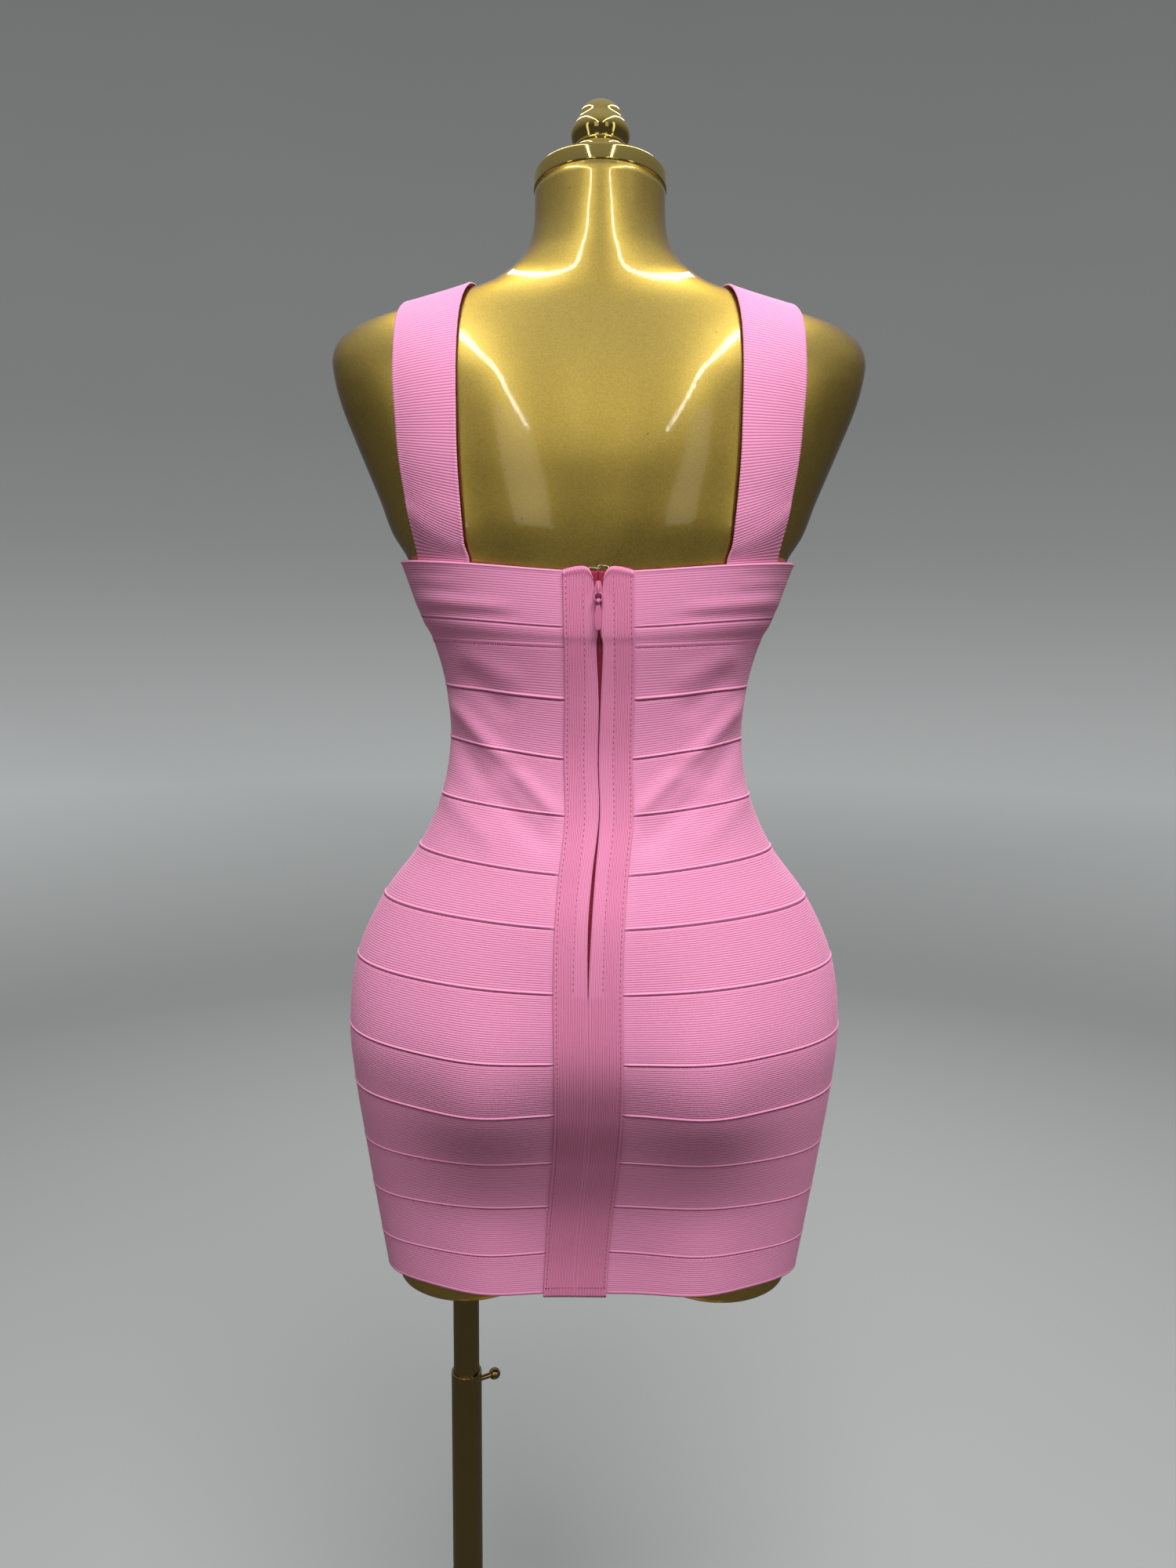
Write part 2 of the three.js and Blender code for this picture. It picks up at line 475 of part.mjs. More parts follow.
add(pole, "base_socket", lathe([[OUTER_R + 0.3, BASE_H + 0.3], [34, BASE_H + 0.3], [34, BASE_H + 4],
  [31, BASE_H + 6.5], [19, BASE_H + 9], [17, BASE_H + 12], [17, BASE_H + SOCKET_H - 2],
  [16, BASE_H + SOCKET_H], [OUTER_R + 0.3, BASE_H + SOCKET_H], [OUTER_R + 0.3, BASE_H + 0.3]], 24), PLATE);
add(stand, "base_plate", lathe([[0, 0], [BASE_R - 2, 0], [BASE_R, 2], [BASE_R, BASE_H - 3],
  [BASE_R - 3, BASE_H], [0, BASE_H]], 48), PLATE);

// ---- zip slider, link and pull, hook and eye ----------------------------------------------------
const SLIDER_Y = skin(0.25, 0).y + CLOTH + 1.3; // just outside the plackets
const zip = new THREE.Group();
zip.position.set(-0.2, SLIDER_Y, ZIP_Z);
form.add(zip);
const BRIDGE_Z = -1, PULL_DROP = 2 * LOOP_R;
{
  // Body: a rounded shield, with a bridge standing off it that the loop hangs in.
  const s = new THREE.Shape();
  s.moveTo(-1.8, 6.4);
  s.bezierCurveTo(-0.8, 7.6, 0.8, 7.6, 1.8, 6.4);
  s.lineTo(2.9, 1);
  s.lineTo(2.6, -4.6);
  s.lineTo(-2.6, -4.6);
  s.lineTo(-2.9, 1);
  s.closePath();
  const plate = new THREE.ExtrudeGeometry(s, { depth: 1.6, bevelEnabled: false, curveSegments: 5 })
    .rotateX(Math.PI / 2).translate(0, 1.6, 0);
  const bridge = wire([[0, 1.2, 5.2], [0, 3.2, 4.9], [0, 4.8, 3], [0, 5.2, 0.4], [0, 4.6, -2],
    [0, 3, -3.4], [0, 1.2, -3.6]], 0.75, 16);
  add(zip, "zip_slider", fromSolid(solid(plate).add(solid(bridge))), PINK_METAL);
  // The loop hangs from the bridge, and the tab's knuckle hangs from the loop.
  const loop = new THREE.TorusGeometry(LOOP_R, LOOP_T, 8, 16).rotateX(Math.PI / 2)
    .translate(0, 3, BRIDGE_Z - LOOP_R);
  add(zip, "zip_link", loop, PINK_METAL);
  const z0 = BRIDGE_Z - PULL_DROP, tab = new THREE.Shape();
  tab.moveTo(-1.2, -1.5);
  tab.bezierCurveTo(-2.4, -7, -2.9, -13, -2, -18.2);
  tab.bezierCurveTo(-1.3, -20.4, 1.3, -20.4, 2, -18.2);
  tab.bezierCurveTo(2.9, -13, 2.4, -7, 1.2, -1.5);
  tab.closePath();
  const leaf = new THREE.ExtrudeGeometry(tab, { depth: 1.5, bevelEnabled: false, curveSegments: 6 })
    .rotateX(Math.PI / 2).translate(0, 0.75, 0);
  const knuckle = new THREE.CylinderGeometry(2.15, 2.15, 2.4, 16).rotateZ(Math.PI / 2);
  const eye = new THREE.CylinderGeometry(1.25, 1.25, 8, 16).rotateZ(Math.PI / 2);
  const pull = solid(leaf).add(solid(knuckle)).subtract(solid(eye)).translate([0, 3, z0]);
  add(zip, "zip_pull", fromSolid(pull), PINK_METAL);
}
// Their feet lie behind the tapes, and they meet above the top edge.
const hy = skin(0, 0).y - 3.5, hz = LEVELS[0].back + 1.6;
add(form, "hook", wire([[7.6, hy + 1.1, hz - 4], [7.4, hy + 1.2, hz - 0.6], [5.4, hy + 1.2, hz + 0.6],
  [2.4, hy + 1.2, hz + 0.2], [-0.6, hy + 1.2, hz], [-1.9, hy, hz], [-0.6, hy - 1.2, hz],
  [2.2, hy - 1.2, hz]], 0.45, 14, 6), WIRE);
add(form, "eye", wire([[-7.4, hy + 1, hz - 3.6], [-7, hy + 0.6, hz + 1.2], [-3.6, hy, hz + 2.2],
  [-0.2, hy, hz + 1.8], [0.7, hy, hz], [-0.2, hy, hz - 1.8], [-3.6, hy, hz - 2.2],
  [-5.4, hy + 0.6, hz - 2.6]], 0.45, 14, 6), WIRE);

export default stand;
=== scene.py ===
import math

import bpy
import numpy as np
from bpy.props import FloatProperty, FloatVectorProperty, IntProperty, PointerProperty
from mathutils import Matrix, Vector
from mathutils.bvhtree import BVHTree


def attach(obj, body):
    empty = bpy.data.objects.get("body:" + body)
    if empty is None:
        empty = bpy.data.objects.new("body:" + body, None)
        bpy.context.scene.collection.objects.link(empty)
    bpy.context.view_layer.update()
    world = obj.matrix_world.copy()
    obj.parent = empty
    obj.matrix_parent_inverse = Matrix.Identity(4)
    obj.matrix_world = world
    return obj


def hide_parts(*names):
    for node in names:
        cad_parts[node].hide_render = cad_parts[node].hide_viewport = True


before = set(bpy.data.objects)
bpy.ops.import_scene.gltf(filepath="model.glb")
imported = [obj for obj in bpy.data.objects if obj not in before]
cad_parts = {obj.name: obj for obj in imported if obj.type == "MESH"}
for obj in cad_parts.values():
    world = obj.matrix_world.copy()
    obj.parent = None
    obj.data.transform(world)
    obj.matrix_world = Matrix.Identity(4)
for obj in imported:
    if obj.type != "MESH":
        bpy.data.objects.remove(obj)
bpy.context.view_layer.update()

bl_info = {
    "name": "Bodycon Dress on Dress Form",
    "version": (1, 0, 0),
    "blender": (4, 5, 0),
    "location": "View3D > Sidebar > Dress",
    "description": "Builds a dress of knit bands on a gold dress form and its telescopic stand",
    "category": "Object",
}

MM = 0.001

# The dress from its top edge down, in millimetres. Each row is an edge or a seam: height at the
# sides, centre back and centre front; half width; depth behind and in front; how square the back
# and the front are; how far the seat stands out; where the zip runs; half width of the slit between
# the plackets; how much further in the form lies at the centre back.
LEVEL_KEYS = ("side", "back", "face", "half", "rear", "fore", "nb", "nf", "seat", "zip", "slit", "hollow")
LEVELS = dict(zip(LEVEL_KEYS, np.array([
    (1231, 1221, 1264, 148.5, 92, 112, 2.3, 2.3, 0, 0, 3.6, 0),
    (1190, 1182, 1216, 133.5, 89, 113, 2.2, 2.2, 0, -0.8, 0.9, 2),
    (1172, 1168, 1194, 124.5, 86, 109, 2.1, 2.2, 0, -1.4, 2.2, 4),
    (1138, 1130, 1150, 115.5, 78, 98, 2, 2.1, 0, -1.8, 0.7, 8),
    (1098, 1087, 1102, 112.5, 73, 89, 2, 2.1, 0, -1.2, 0.35, 12),
    (1055, 1047, 1056, 119.5, 78, 90, 1.95, 2.1, 0, -2.2, 0.35, 12),
    (1014, 1007, 1012, 138, 93, 98, 1.85, 2.1, 0, 1.7, 1.1, 9),
    (975, 971, 972, 166, 106, 104, 1.8, 2.1, 0, 4.2, 1.2, 5),
    (928, 926, 926, 187, 113, 106, 1.95, 2.2, 2, 5, 0.25, 4),
    (876, 876, 876, 192.7, 114.5, 104, 2.25, 2.3, 7, 4.2, 0.15, 8),
    (830, 834, 830, 189, 102, 100, 2.4, 2.4, 11, 4.2, 0.15, 10),
    (784, 788, 784, 182.5, 81, 95, 2.7, 2.6, 5, 6, 0.15, 6),
    (743, 745, 743, 176.5, 64, 91, 3, 2.8, 4, 9.3, 0.15, 0),
    (702, 704, 702, 170.5, 55.5, 87, 3, 2.8, 8, 12, 0.15, 0),
    (671, 668, 671, 166, 53, 84, 2.8, 2.8, 10, 13.7, 0.15, 0),
]).T))
LAST = len(LEVELS["side"]) - 1
BUST_X, BUST_Z, BUST_W, BUST_H, BUST_OUT = 80, 1222, 44, 46, 25
SEAT_X, SEAT_W = 84, 40

# The form above the dress: height, height at the front, half width, depth behind and in front, squareness.
SHOULDERS = [
    (1252, 1275, 154.5, 91, 103, 2.3, 2.3), (1275, 1289, 163, 92, 100, 2.3, 2.3),
    (1298, 1305, 172.5, 92, 96, 2.3, 2.3), (1321, 1321, 182, 90, 90, 2.3, 2.3),
    (1343, 1343, 190.5, 86.5, 82, 2.35, 2.35), (1362, 1362, 195.5, 82, 74, 2.4, 2.4),
    (1378, 1378, 197, 76, 65.5, 2.4, 2.4), (1390, 1390, 192.5, 71, 58.5, 2.3, 2.3),
    (1400, 1400, 181.5, 66.5, 53, 2.1, 2.1), (1408, 1408, 163, 63, 49.5, 1.95, 1.95),
    (1416, 1416, 136, 60.5, 47, 1.85, 1.85), (1424, 1424, 107, 59, 45.5, 1.85, 1.85),
    (1432, 1432, 83, 57.8, 44.8, 1.9, 1.9), (1442, 1442, 66, 56.2, 44.2, 2, 2),
    (1454, 1454, 55, 54.3, 44.2, 2, 2), (1468, 1468, 49.8, 52, 45, 2, 2),
    (1483, 1483, 48.2, 49.8, 46.6, 2, 2),
]
NECK_TOP, NECK_TILT = 1497, math.radians(7.8)
STUB_Z, CROTCH = 655, 752
# The thigh stubs: height, centre and half width across, centre and half depth.
THIGH = [
    (STUB_Z, 101.5, 55, -11, 53.5), (STUB_Z + 1.2, 101.5, 56.6, -11, 55.2), (STUB_Z + 5, 101.5, 58, -11, 57),
    (675, 100.5, 59.5, -11, 58), (704, 97.5, 64, -11, 60), (738, 93, 72, -13, 63), (772, 88.5, 75, -13, 63),
    (800, 86, 72, -8, 62),
]
# The straps' centre line: angle round the shoulder from straight back, distance from the middle, width.
STRAP_HUB = 1330
STRAP = np.array([
    (-50, 113, 41), (-36, 116, 42), (-20, 118, 43), (0, 119, 44), (20, 120, 45), (40, 120, 45),
    (58, 119, 46), (74, 116, 47), (90, 113, 47), (106, 113, 46), (122, 114, 45), (140, 115, 44),
    (160, 115, 43), (180, 114, 43), (200, 113, 43), (216, 112, 43),
])
STRAP_FOOT, STRAP_HEAD = (112, 41), (111.5, 43)
BAND_WALL, STRAP_WALL = 1.4, 1.2  # thickness of the cloth
POLE_X, CLAMP_Z = 104, 556
CLAMP_AIM = math.radians(31)  # how far the clamp screw is turned from the wearer's right to the front
TUBE_R = 12.5                 # outside of the outer tube


class DressCloth(bpy.types.PropertyGroup):
    """Sizes and colours of the dress"""
    cloth: FloatProperty(name="Cloth", description="Thickness of the bandage knit",
                         default=0.0014, min=0.0008, max=0.003, subtype="DISTANCE", unit="LENGTH")
    rib_pitch: FloatProperty(name="Rib Pitch", description="Height of one rib of the bands",
                             default=0.00165, min=0.001, max=0.004, subtype="DISTANCE", unit="LENGTH")
    rib_depth: FloatProperty(name="Rib Depth", description="How far the ribs of the hip bands stand up",
                             default=0.00016, min=0.0, max=0.0006, subtype="DISTANCE", unit="LENGTH")
    placket: FloatProperty(name="Placket Width", description="Width of the strip on each side of the zip",
                           default=0.0245, min=0.02, max=0.03, subtype="DISTANCE", unit="LENGTH")
    ridge: FloatProperty(name="Seam Ridge", description="How far the rolled seam of each band stands up",
                         default=0.00078, min=0.0, max=0.002, subtype="DISTANCE", unit="LENGTH")
    columns: IntProperty(name="Columns", description="Mesh columns round each band",
                         default=204, min=60, max=400)
    knit_colour: FloatVectorProperty(name="Knit Colour", description="Colour of the bands",
                                     default=(0.80, 0.305, 0.50), size=3, subtype="COLOR", min=0, max=1)
    rib_colour: FloatVectorProperty(name="Rib Colour", description="Colour of the plackets",
                                    default=(0.75, 0.26, 0.435), size=3, subtype="COLOR", min=0, max=1)
    # the thread's own colour, darkened further as painted shade of the stitch holes
    thread_and_hole_shade_colour: FloatVectorProperty(name="Thread and Hole Shade Colour", description="Colour of the stitching, darkened as painted shade of its stitch holes",
                                       default=(0.36, 0.06, 0.14), size=3, subtype="COLOR", min=0, max=1)
    # painted shade: the tape's colour is a dark red that stands for the shade under the plackets
    tape_shade_colour: FloatVectorProperty(name="Zip Tape Shade Colour", description="Dark colour of the zip tape in its slit, painted shade from the plackets",
                                     default=(0.30, 0.02, 0.05), size=3, subtype="COLOR", min=0, max=1)
    enamel_colour: FloatVectorProperty(name="Slider Colour", description="Colour of the painted zip slider",
                                       default=(0.56, 0.14, 0.28), size=3, subtype="COLOR", min=0, max=1)


class StandFinish(bpy.types.PropertyGroup):
    """Sizes and colours of the dress form and its stand"""
    paint_colour: FloatVectorProperty(name="Form Paint", description="Colour of the gold paint on the form",
                                      default=(0.62, 0.43, 0.075), size=3, subtype="COLOR", min=0, max=1)
    plate_colour: FloatVectorProperty(name="Gold Plate", description="Colour of the plated cap and finial",
                                      default=(0.52, 0.40, 0.12), size=3, subtype="COLOR", min=0, max=1)
    stand_colour: FloatVectorProperty(name="Stand Plate", description="Colour of the plated tubes and base",
                                      default=(0.34, 0.25, 0.10), size=3, subtype="COLOR", min=0, max=1)
    sides: IntProperty(name="Sides", description="Mesh columns round the form", default=160, min=48, max=320)


class StageSet(bpy.types.PropertyGroup):
    """Floor, lights and camera"""
    lens: FloatProperty(name="Lens", description="Focal length on a 36 mm sensor",
                        default=27.0, min=10, max=200, subtype="DISTANCE_CAMERA", unit="CAMERA")
    eye: FloatVectorProperty(name="Camera Position", description="Where the camera stands",
                             default=(0.006, 0.910, 1.180), size=3, subtype="TRANSLATION", unit="LENGTH")
    pitch: FloatProperty(name="Camera Pitch", description="How far the camera looks down",
                         default=math.radians(7.407), subtype="ANGLE", unit="ROTATION")
    roll: FloatProperty(name="Camera Roll", description="How far the camera leans",
                        default=math.radians(0.382), subtype="ANGLE", unit="ROTATION")
    floor_colour: FloatVectorProperty(name="Floor Colour", description="Colour of the plain floor",
                                      default=(0.58, 0.60, 0.59), size=3, subtype="COLOR", min=0, max=1)
    light: FloatProperty(name="Light", description="Strength of the lights as a multiple",
                         default=1.0, min=0.0, max=10.0)


# ---- the surface of the dress and of the form ----------------------------------------------------
def through(values, u):
    """A smooth curve through evenly numbered values."""
    values, u = np.asarray(values, float), np.asarray(u, float)
    n = len(values) - 1
    i = np.clip(np.floor(u).astype(int), 0, n - 1)
    t = u - i
    a, b = values[i], values[i + 1]
    m0 = np.where(i > 0, (b - values[np.maximum(i - 1, 0)]) / 2, b - a)
    m1 = np.where(i < n - 1, (values[np.minimum(i + 2, n)] - a) / 2, b - a)
    t2, t3 = t * t, t * t * t
    return (2 * t3 - 3 * t2 + 1) * a + (t3 - 2 * t2 + t) * m0 + (3 * t2 - 2 * t3) * b + (t3 - t2) * m1


def skin(u, angle):
    """Points of the dress at rows u and angles from the centre back towards the wearer's left, in mm."""
    u, angle = np.broadcast_arrays(np.asarray(u, float), np.asarray(angle, float))
    row = {k: through(LEVELS[k], u) for k in LEVEL_KEYS}
    s, c = np.sin(angle), np.cos(angle)
    deep = np.where(c > 0, row["rear"], row["fore"])
    n = np.where(c > 0, row["nb"], row["nf"])
    r = (np.abs(s / row["half"]) ** n + np.abs(c / deep) ** n) ** (-1 / n)
    x, y = r * s, r * c
    z = row["side"] + (np.where(c > 0, row["back"], row["face"]) - row["side"]) * c * c
    side = np.abs(x)
    seat = row["seat"] * hump(side - SEAT_X, SEAT_W) * np.clip(c * 4, 0, 1)
    across = np.where(side < BUST_X, 1 - 0.1 * (1 - side / BUST_X) ** 2, hump(side - BUST_X, BUST_W))
    bust = BUST_OUT * across * hump(z - BUST_Z, BUST_H) * np.clip(-c * 3, 0, 1)
    return np.stack([x, y + np.where(c > 0, seat, -bust), z], -1)


def skin_normal(u, angle):
    """The outward direction of the dress at rows u and angles."""
    e = 0.02
    down = skin(np.clip(u + e, 0, LAST), angle) - skin(np.clip(u - e, 0, LAST), angle)
    side = skin(u, angle + e) - skin(u, angle - e)
    n = np.cross(side, down)
    return n / np.linalg.norm(n, axis=-1, keepdims=True)


def on_skin(u, angle, out):
    """Points a distance out from the surface of the dress."""
    u, angle = np.broadcast_arrays(np.asarray(u, float), np.asarray(angle, float))
    return skin(u, angle) + skin_normal(u, angle) * np.asarray(out, float)[..., None]


def angle_at(u, x):
    """The angle at which row u passes x near the centre back."""
    u, x = np.broadcast_arrays(np.asarray(u, float), np.asarray(x, float))
    a, b = np.full(u.shape, -1.2), np.full(u.shape, 1.2)
    for _ in range(40):
        m = (a + b) / 2
        low = skin(u, m)[..., 0] < x
        a, b = np.where(low, m, a), np.where(low, b, m)
    return (a + b) / 2


def angle_beside(u, x, front):
    """The angle at which row u passes x beside the middle, behind or in front, on the wearer's left."""
    a, b = (math.pi, 1.75) if front else (0.0, 1.4)
    for _ in range(40):
        m = (a + b) / 2
        if skin(u, m)[..., 0] < x:
            a = m
        else:
            b = m
    return (a + b) / 2


def run_of(line):
    """The distance of each point of a line from its first point."""
    return np.concatenate([[0], np.cumsum(np.linalg.norm(np.diff(line, axis=0), axis=1))])


def spline(points, values, at):
    """A smooth curve through points on rows, values (rows, ...), read at the places at."""
    points, values, at = np.asarray(points, float), np.asarray(values, float), np.asarray(at, float)
    step = np.diff(points)
    slope = np.diff(values, axis=0) / step.reshape(-1, *[1] * (values.ndim - 1))
    tan = np.concatenate([slope[:1], np.zeros_like(values[1:-1]), slope[-1:]])
    w0, w1 = step[1:], step[:-1]
    shape = (-1, *[1] * (values.ndim - 1))
    tan[1:-1] = (slope[:-1] * w0.reshape(shape) + slope[1:] * w1.reshape(shape)) / (w0 + w1).reshape(shape)
    i = np.clip(np.searchsorted(points, at, side="right") - 1, 0, len(step) - 1)
    h = step[i].reshape(shape)
    t = ((at - points[i]) / step[i]).reshape(shape)
    t2, t3 = t * t, t * t * t
    return ((2 * t3 - 3 * t2 + 1) * values[i] + (t3 - 2 * t2 + t) * h * tan[i]
            + (3 * t2 - 2 * t3) * values[i + 1] + (t3 - t2) * h * tan[i + 1])


def hump(v, width):
    """A bell shape, 1 at v = 0."""
    return np.exp(-((v / width) ** 2))


def smooth(v, a, b):
    """Rises smoothly from 0 at a to 1 at b."""
    t = np.clip((v - a) / (b - a), 0, 1)
    return t * t * (3 - 2 * t)


def drape(points):
    """How far the cloth stands out from its smooth surface, in mm: pulls at the waist, tucks at the top."""
    x, y, z = points[..., 0], points[..., 1], points[..., 2]
    side = np.abs(x)
    behind = smooth(y, 0, 25)
    out = np.zeros(x.shape)
    # x and z of both ends of each soft fold, its half width and height
    for x0, z0, x1, z1, wide, high in (
        (113, 1130, 62, 1082, 6.5, 2.3), (62, 1082, 25, 1046, 6, 2.2),
        (113, 1108, 78, 1064, 9, -1.9), (78, 1064, 30, 1024, 9, -2.1),
        (122, 1062, 72, 1024, 9, 1.3), (102, 1152, 60, 1118, 9, -1.3), (104, 1166, 52, 1142, 8, 0.9),
        (140, 1203, 60, 1196, 5, 0.9), (138, 1194, 50, 1189, 4, -0.5), (146, 1222, 100, 1219, 4, -0.3),
        (136, 1212, 96, 1206, 4, -0.3),
    ):
        dx, dz = x1 - x0, z1 - z0
        t = np.clip(((side - x0) * dx + (z - z0) * dz) / (dx * dx + dz * dz), -0.1, 1.1)
        far = np.hypot(side - x0 - t * dx, z - z0 - t * dz)
        ends = smooth(t, -0.1, 0.25) * (1 - smooth(t, 0.75, 1.1))
        out += high * ends * hump(far, wide)
    return out * behind


# ---- meshes --------------------------------------------------------------------------------------
def make_piece(name, points, faces, uv=None, groove=None):
    """A mesh object from points in mm and lists of faces, with a layer of lengths on the cloth in metres.

    groove numbers the points that lie in the bottom of a groove, and is -1 elsewhere.
    """
    mesh = bpy.data.meshes.new(name)
    points = np.asarray(points, float).reshape(-1, 3) * MM
    faces = [np.asarray(f, np.int32) for f in (faces if isinstance(faces, list) else [faces]) if len(f)]
    loops = np.concatenate([f.ravel() for f in faces])
    totals = np.concatenate([np.full(len(f), f.shape[1], np.int32) for f in faces])
    starts = np.concatenate([[0], np.cumsum(totals)[:-1]]).astype(np.int32)
    mesh.vertices.add(len(points))
    mesh.vertices.foreach_set("co", points.astype(np.float32).ravel())
    mesh.loops.add(len(loops))
    mesh.loops.foreach_set("vertex_index", loops.astype(np.int32))
    mesh.polygons.add(len(totals))
    mesh.polygons.foreach_set("loop_start", starts)
    mesh.polygons.foreach_set("loop_total", totals)
    mesh.polygons.foreach_set("use_smooth", np.ones(len(totals), bool))
    if uv is not None:
        layer = mesh.uv_layers.new(name="Weave")
        layer.data.foreach_set("uv", (np.asarray(uv, float).reshape(-1, 2)[loops]).astype(np.float32).ravel())
    mesh.update(calc_edges=True)
    mesh.validate()
    if groove is not None:
        ends = np.zeros(len(mesh.edges) * 2, np.int32)
        mesh.edges.foreach_get("vertices", ends)
        a, b = np.asarray(groove)[ends.reshape(-1, 2)].T
        mesh.attributes.new("sharp_edge", "BOOLEAN", "EDGE").data.foreach_set("value", (a >= 0) & (a == b))
    obj = bpy.data.objects.new(name, mesh)
    bpy.context.scene.collection.objects.link(obj)
    return obj


def quads(rows, cols, start=0, wrap=False, flip=False):
    """The faces of a grid of points numbered along its rows."""
    i = np.arange(rows - 1)[:, None]
    j = np.arange(cols if wrap else cols - 1)[None, :]
    k = (j + 1) % cols
    f = np.stack(np.broadcast_arrays(i * cols + j, (i + 1) * cols + j, (i + 1) * cols + k, i * cols + k), -1)
    f = f.reshape(-1, 4) + start
    return f[:, ::-1] if flip else f


def shell(outer, inner, uv):
    """A sheet from two grids with the same columns; the inner one may have fewer rows."""
    rows, cols = outer.shape[:2]
    rows2 = inner.shape[0]
    n = rows * cols
    faces = [quads(rows, cols), quads(rows2, cols, n, flip=True)]
    j = np.arange(cols - 1)
    faces.append(np.stack([j, j + 1, n + j + 1, n + j], -1))
    a, b = (rows - 1) * cols + j, n + (rows2 - 1) * cols + j
    faces.append(np.stack([a, b, b + 1, a + 1], -1))
    # each end: a fan between the outer edge's many rows and the inner edge's few
    for c, turn in ((0, False), (cols - 1, True)):
        edge = np.arange(rows) * cols + c
        back = n + np.arange(rows2) * cols + c
        share = np.round(np.linspace(0, rows2 - 1, rows)).astype(int)
        tris, k = [], 0
        for i in range(rows - 1):
            if share[i + 1] > k:
                tris.append((edge[i], back[k], back[k + 1]))
                k += 1
            tris.append((edge[i], back[k], edge[i + 1]))
        fan = np.array(tris)
        faces.append(fan[:, ::-1] if turn else fan)
    uv_in = uv[np.linspace(0, rows - 1, rows2).astype(int)]
    return (np.concatenate([outer.reshape(-1, 3), inner.reshape(-1, 3)]), faces,
            np.concatenate([uv.reshape(-1, 2), uv_in.reshape(-1, 2)]))


def groove_marks(points, grid):
    """Groove numbers of a sheet's points: the grid's on its outside, and -1 on its inside."""
    marks = np.full(len(points), -1)
    marks[:grid.size] = grid.ravel()
    return marks


def lengths(grid):
    """Lengths along the columns and rows of a grid of points, in metres, as a weave layer."""
    across = np.linalg.norm(np.diff(grid, axis=1), axis=-1)
    down = np.linalg.norm(np.diff(grid, axis=0), axis=-1)
    u = np.concatenate([np.zeros((grid.shape[0], 1)), np.cumsum(across, 1)], 1)
    u -= u[:, -1:] / 2
    v = np.concatenate([np.zeros((1, grid.shape[1])), np.cumsum(down, 0)], 0)
    return np.stack([u, v], -1) * MM


def lathe(profile, n=96, place=None):
    """Points and faces of a turned part from its profile of radius and height, in mm."""
    profile = np.asarray(profile, float)
    a = np.linspace(0, 2 * math.pi, n, endpoint=False)
    grid = np.stack([profile[:, :1] * np.cos(a), profile[:, :1] * np.sin(a),
                     np.repeat(profile[:, 1:], n, 1)], -1)
    points, faces = grid.reshape(-1, 3), [quads(len(profile), n, wrap=True, flip=True)]
    if place is not None:
        m = np.array(place)
        points = points @ m[:3, :3].T + m[:3, 3]
    return points, faces


def rounded(profile, radius, steps=4):
    """A profile with its corners rounded, apart from its two ends."""
    p = [np.array(q, float) for q in profile]
    out = [p[0]]
    for a, b, c in zip(p, p[1:], p[2:]):
        la, lc = np.linalg.norm(a - b), np.linalg.norm(c - b)
        r = min(radius, la * 0.45, lc * 0.45)
        q0, q1 = b + (a - b) / la * r, b + (c - b) / lc * r
        for t in np.linspace(0, 1, steps + 1):
            out.append((1 - t) ** 2 * q0 + 2 * t * (1 - t) * b + t * t * q1)
    out.append(p[-1])
    return out


def weld(obj, distance=1e-6):
    """Joins the points that lie on each other, as on the axis of a turned part."""
    m = obj.modifiers.new("weld", "WELD")
    m.merge_threshold = distance
    bake(obj)
    return obj


def bake(obj):
    """Applies every modifier of a piece."""
    graph = bpy.context.evaluated_depsgraph_get()
    graph.update()
    mesh = bpy.data.meshes.new_from_object(obj.evaluated_get(graph))
    obj.modifiers.clear()
    old, obj.data = obj.data, mesh
    bpy.data.meshes.remove(old)


def tube(path, radius, sides=10, closed=False):
    """Points and faces of a round wire along a path, with round ends."""
    path = np.asarray(path, float)
    n = len(path)
    tangent = np.roll(path, -1, 0) - np.roll(path, 1, 0) if closed else np.gradient(path, axis=0)
    tangent /= np.linalg.norm(tangent, axis=1, keepdims=True)
    up = np.cross(tangent[0], [0.3, 0.9, 0.2])
    a = np.linspace(0, 2 * math.pi, sides, endpoint=False)
    rings = []
    for i in range(n):
        up = up - tangent[i] * (up @ tangent[i])
        up /= np.linalg.norm(up)
        side = np.cross(tangent[i], up)
        rings.append(path[i] + radius * (np.cos(a)[:, None] * up + np.sin(a)[:, None] * side))
    if not closed:
        for end, at, sign in ((rings[0], path[0], -1), (rings[-1], path[-1], 1)):
            axis = tangent[0 if sign < 0 else -1]
            extra = [at + sign * axis * radius * s + (end - at) * c for s, c in ((0.6, 0.8), (0.95, 0.35))]
            if sign < 0:
                rings = extra[::-1] + rings
            else:
                rings = rings + extra
    rings = np.array(rings)
    if closed:
        rings = np.concatenate([rings, rings[:1]])
    faces = [quads(len(rings), sides, wrap=True)]
    if not closed:
        m = len(rings) * sides
        faces += [np.arange(sides)[None, :], np.arange(m - sides, m)[::-1][None, :]]
    return rings.reshape(-1, 3), faces


def gather(parts):
    """Many point and face lists as one."""
    points, by_size, start = [], {}, 0
    for p, faces in parts:
        points.append(p)
        for f in faces:
            if len(f):
                by_size.setdefault(f.shape[1], []).append(np.asarray(f) + start)
        start += len(p)
    return np.concatenate(points), [np.concatenate(f) for f in by_size.values()]


def curve_points(points, count):
    """Evenly spaced points on a smooth curve through points."""
    points = np.asarray(points, float)
    far = run_of(points)
    return spline(far, points, np.linspace(0, far[-1], count))


def settle(obj, body, slot, material, *nodes):
    """Gives a piece its body and finish, and hides the CAD nodes that it stands for; its record slot is not
    used.
    """
    obj.data.materials.clear()
    obj.data.materials.append(material)
    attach(obj, body)
    if nodes:
        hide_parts(*nodes)
    return obj


# ---- finishes ------------------------------------------------------------------------------------
LOOP_STEP = 0.0011  # from one knitted loop to the next along a rib


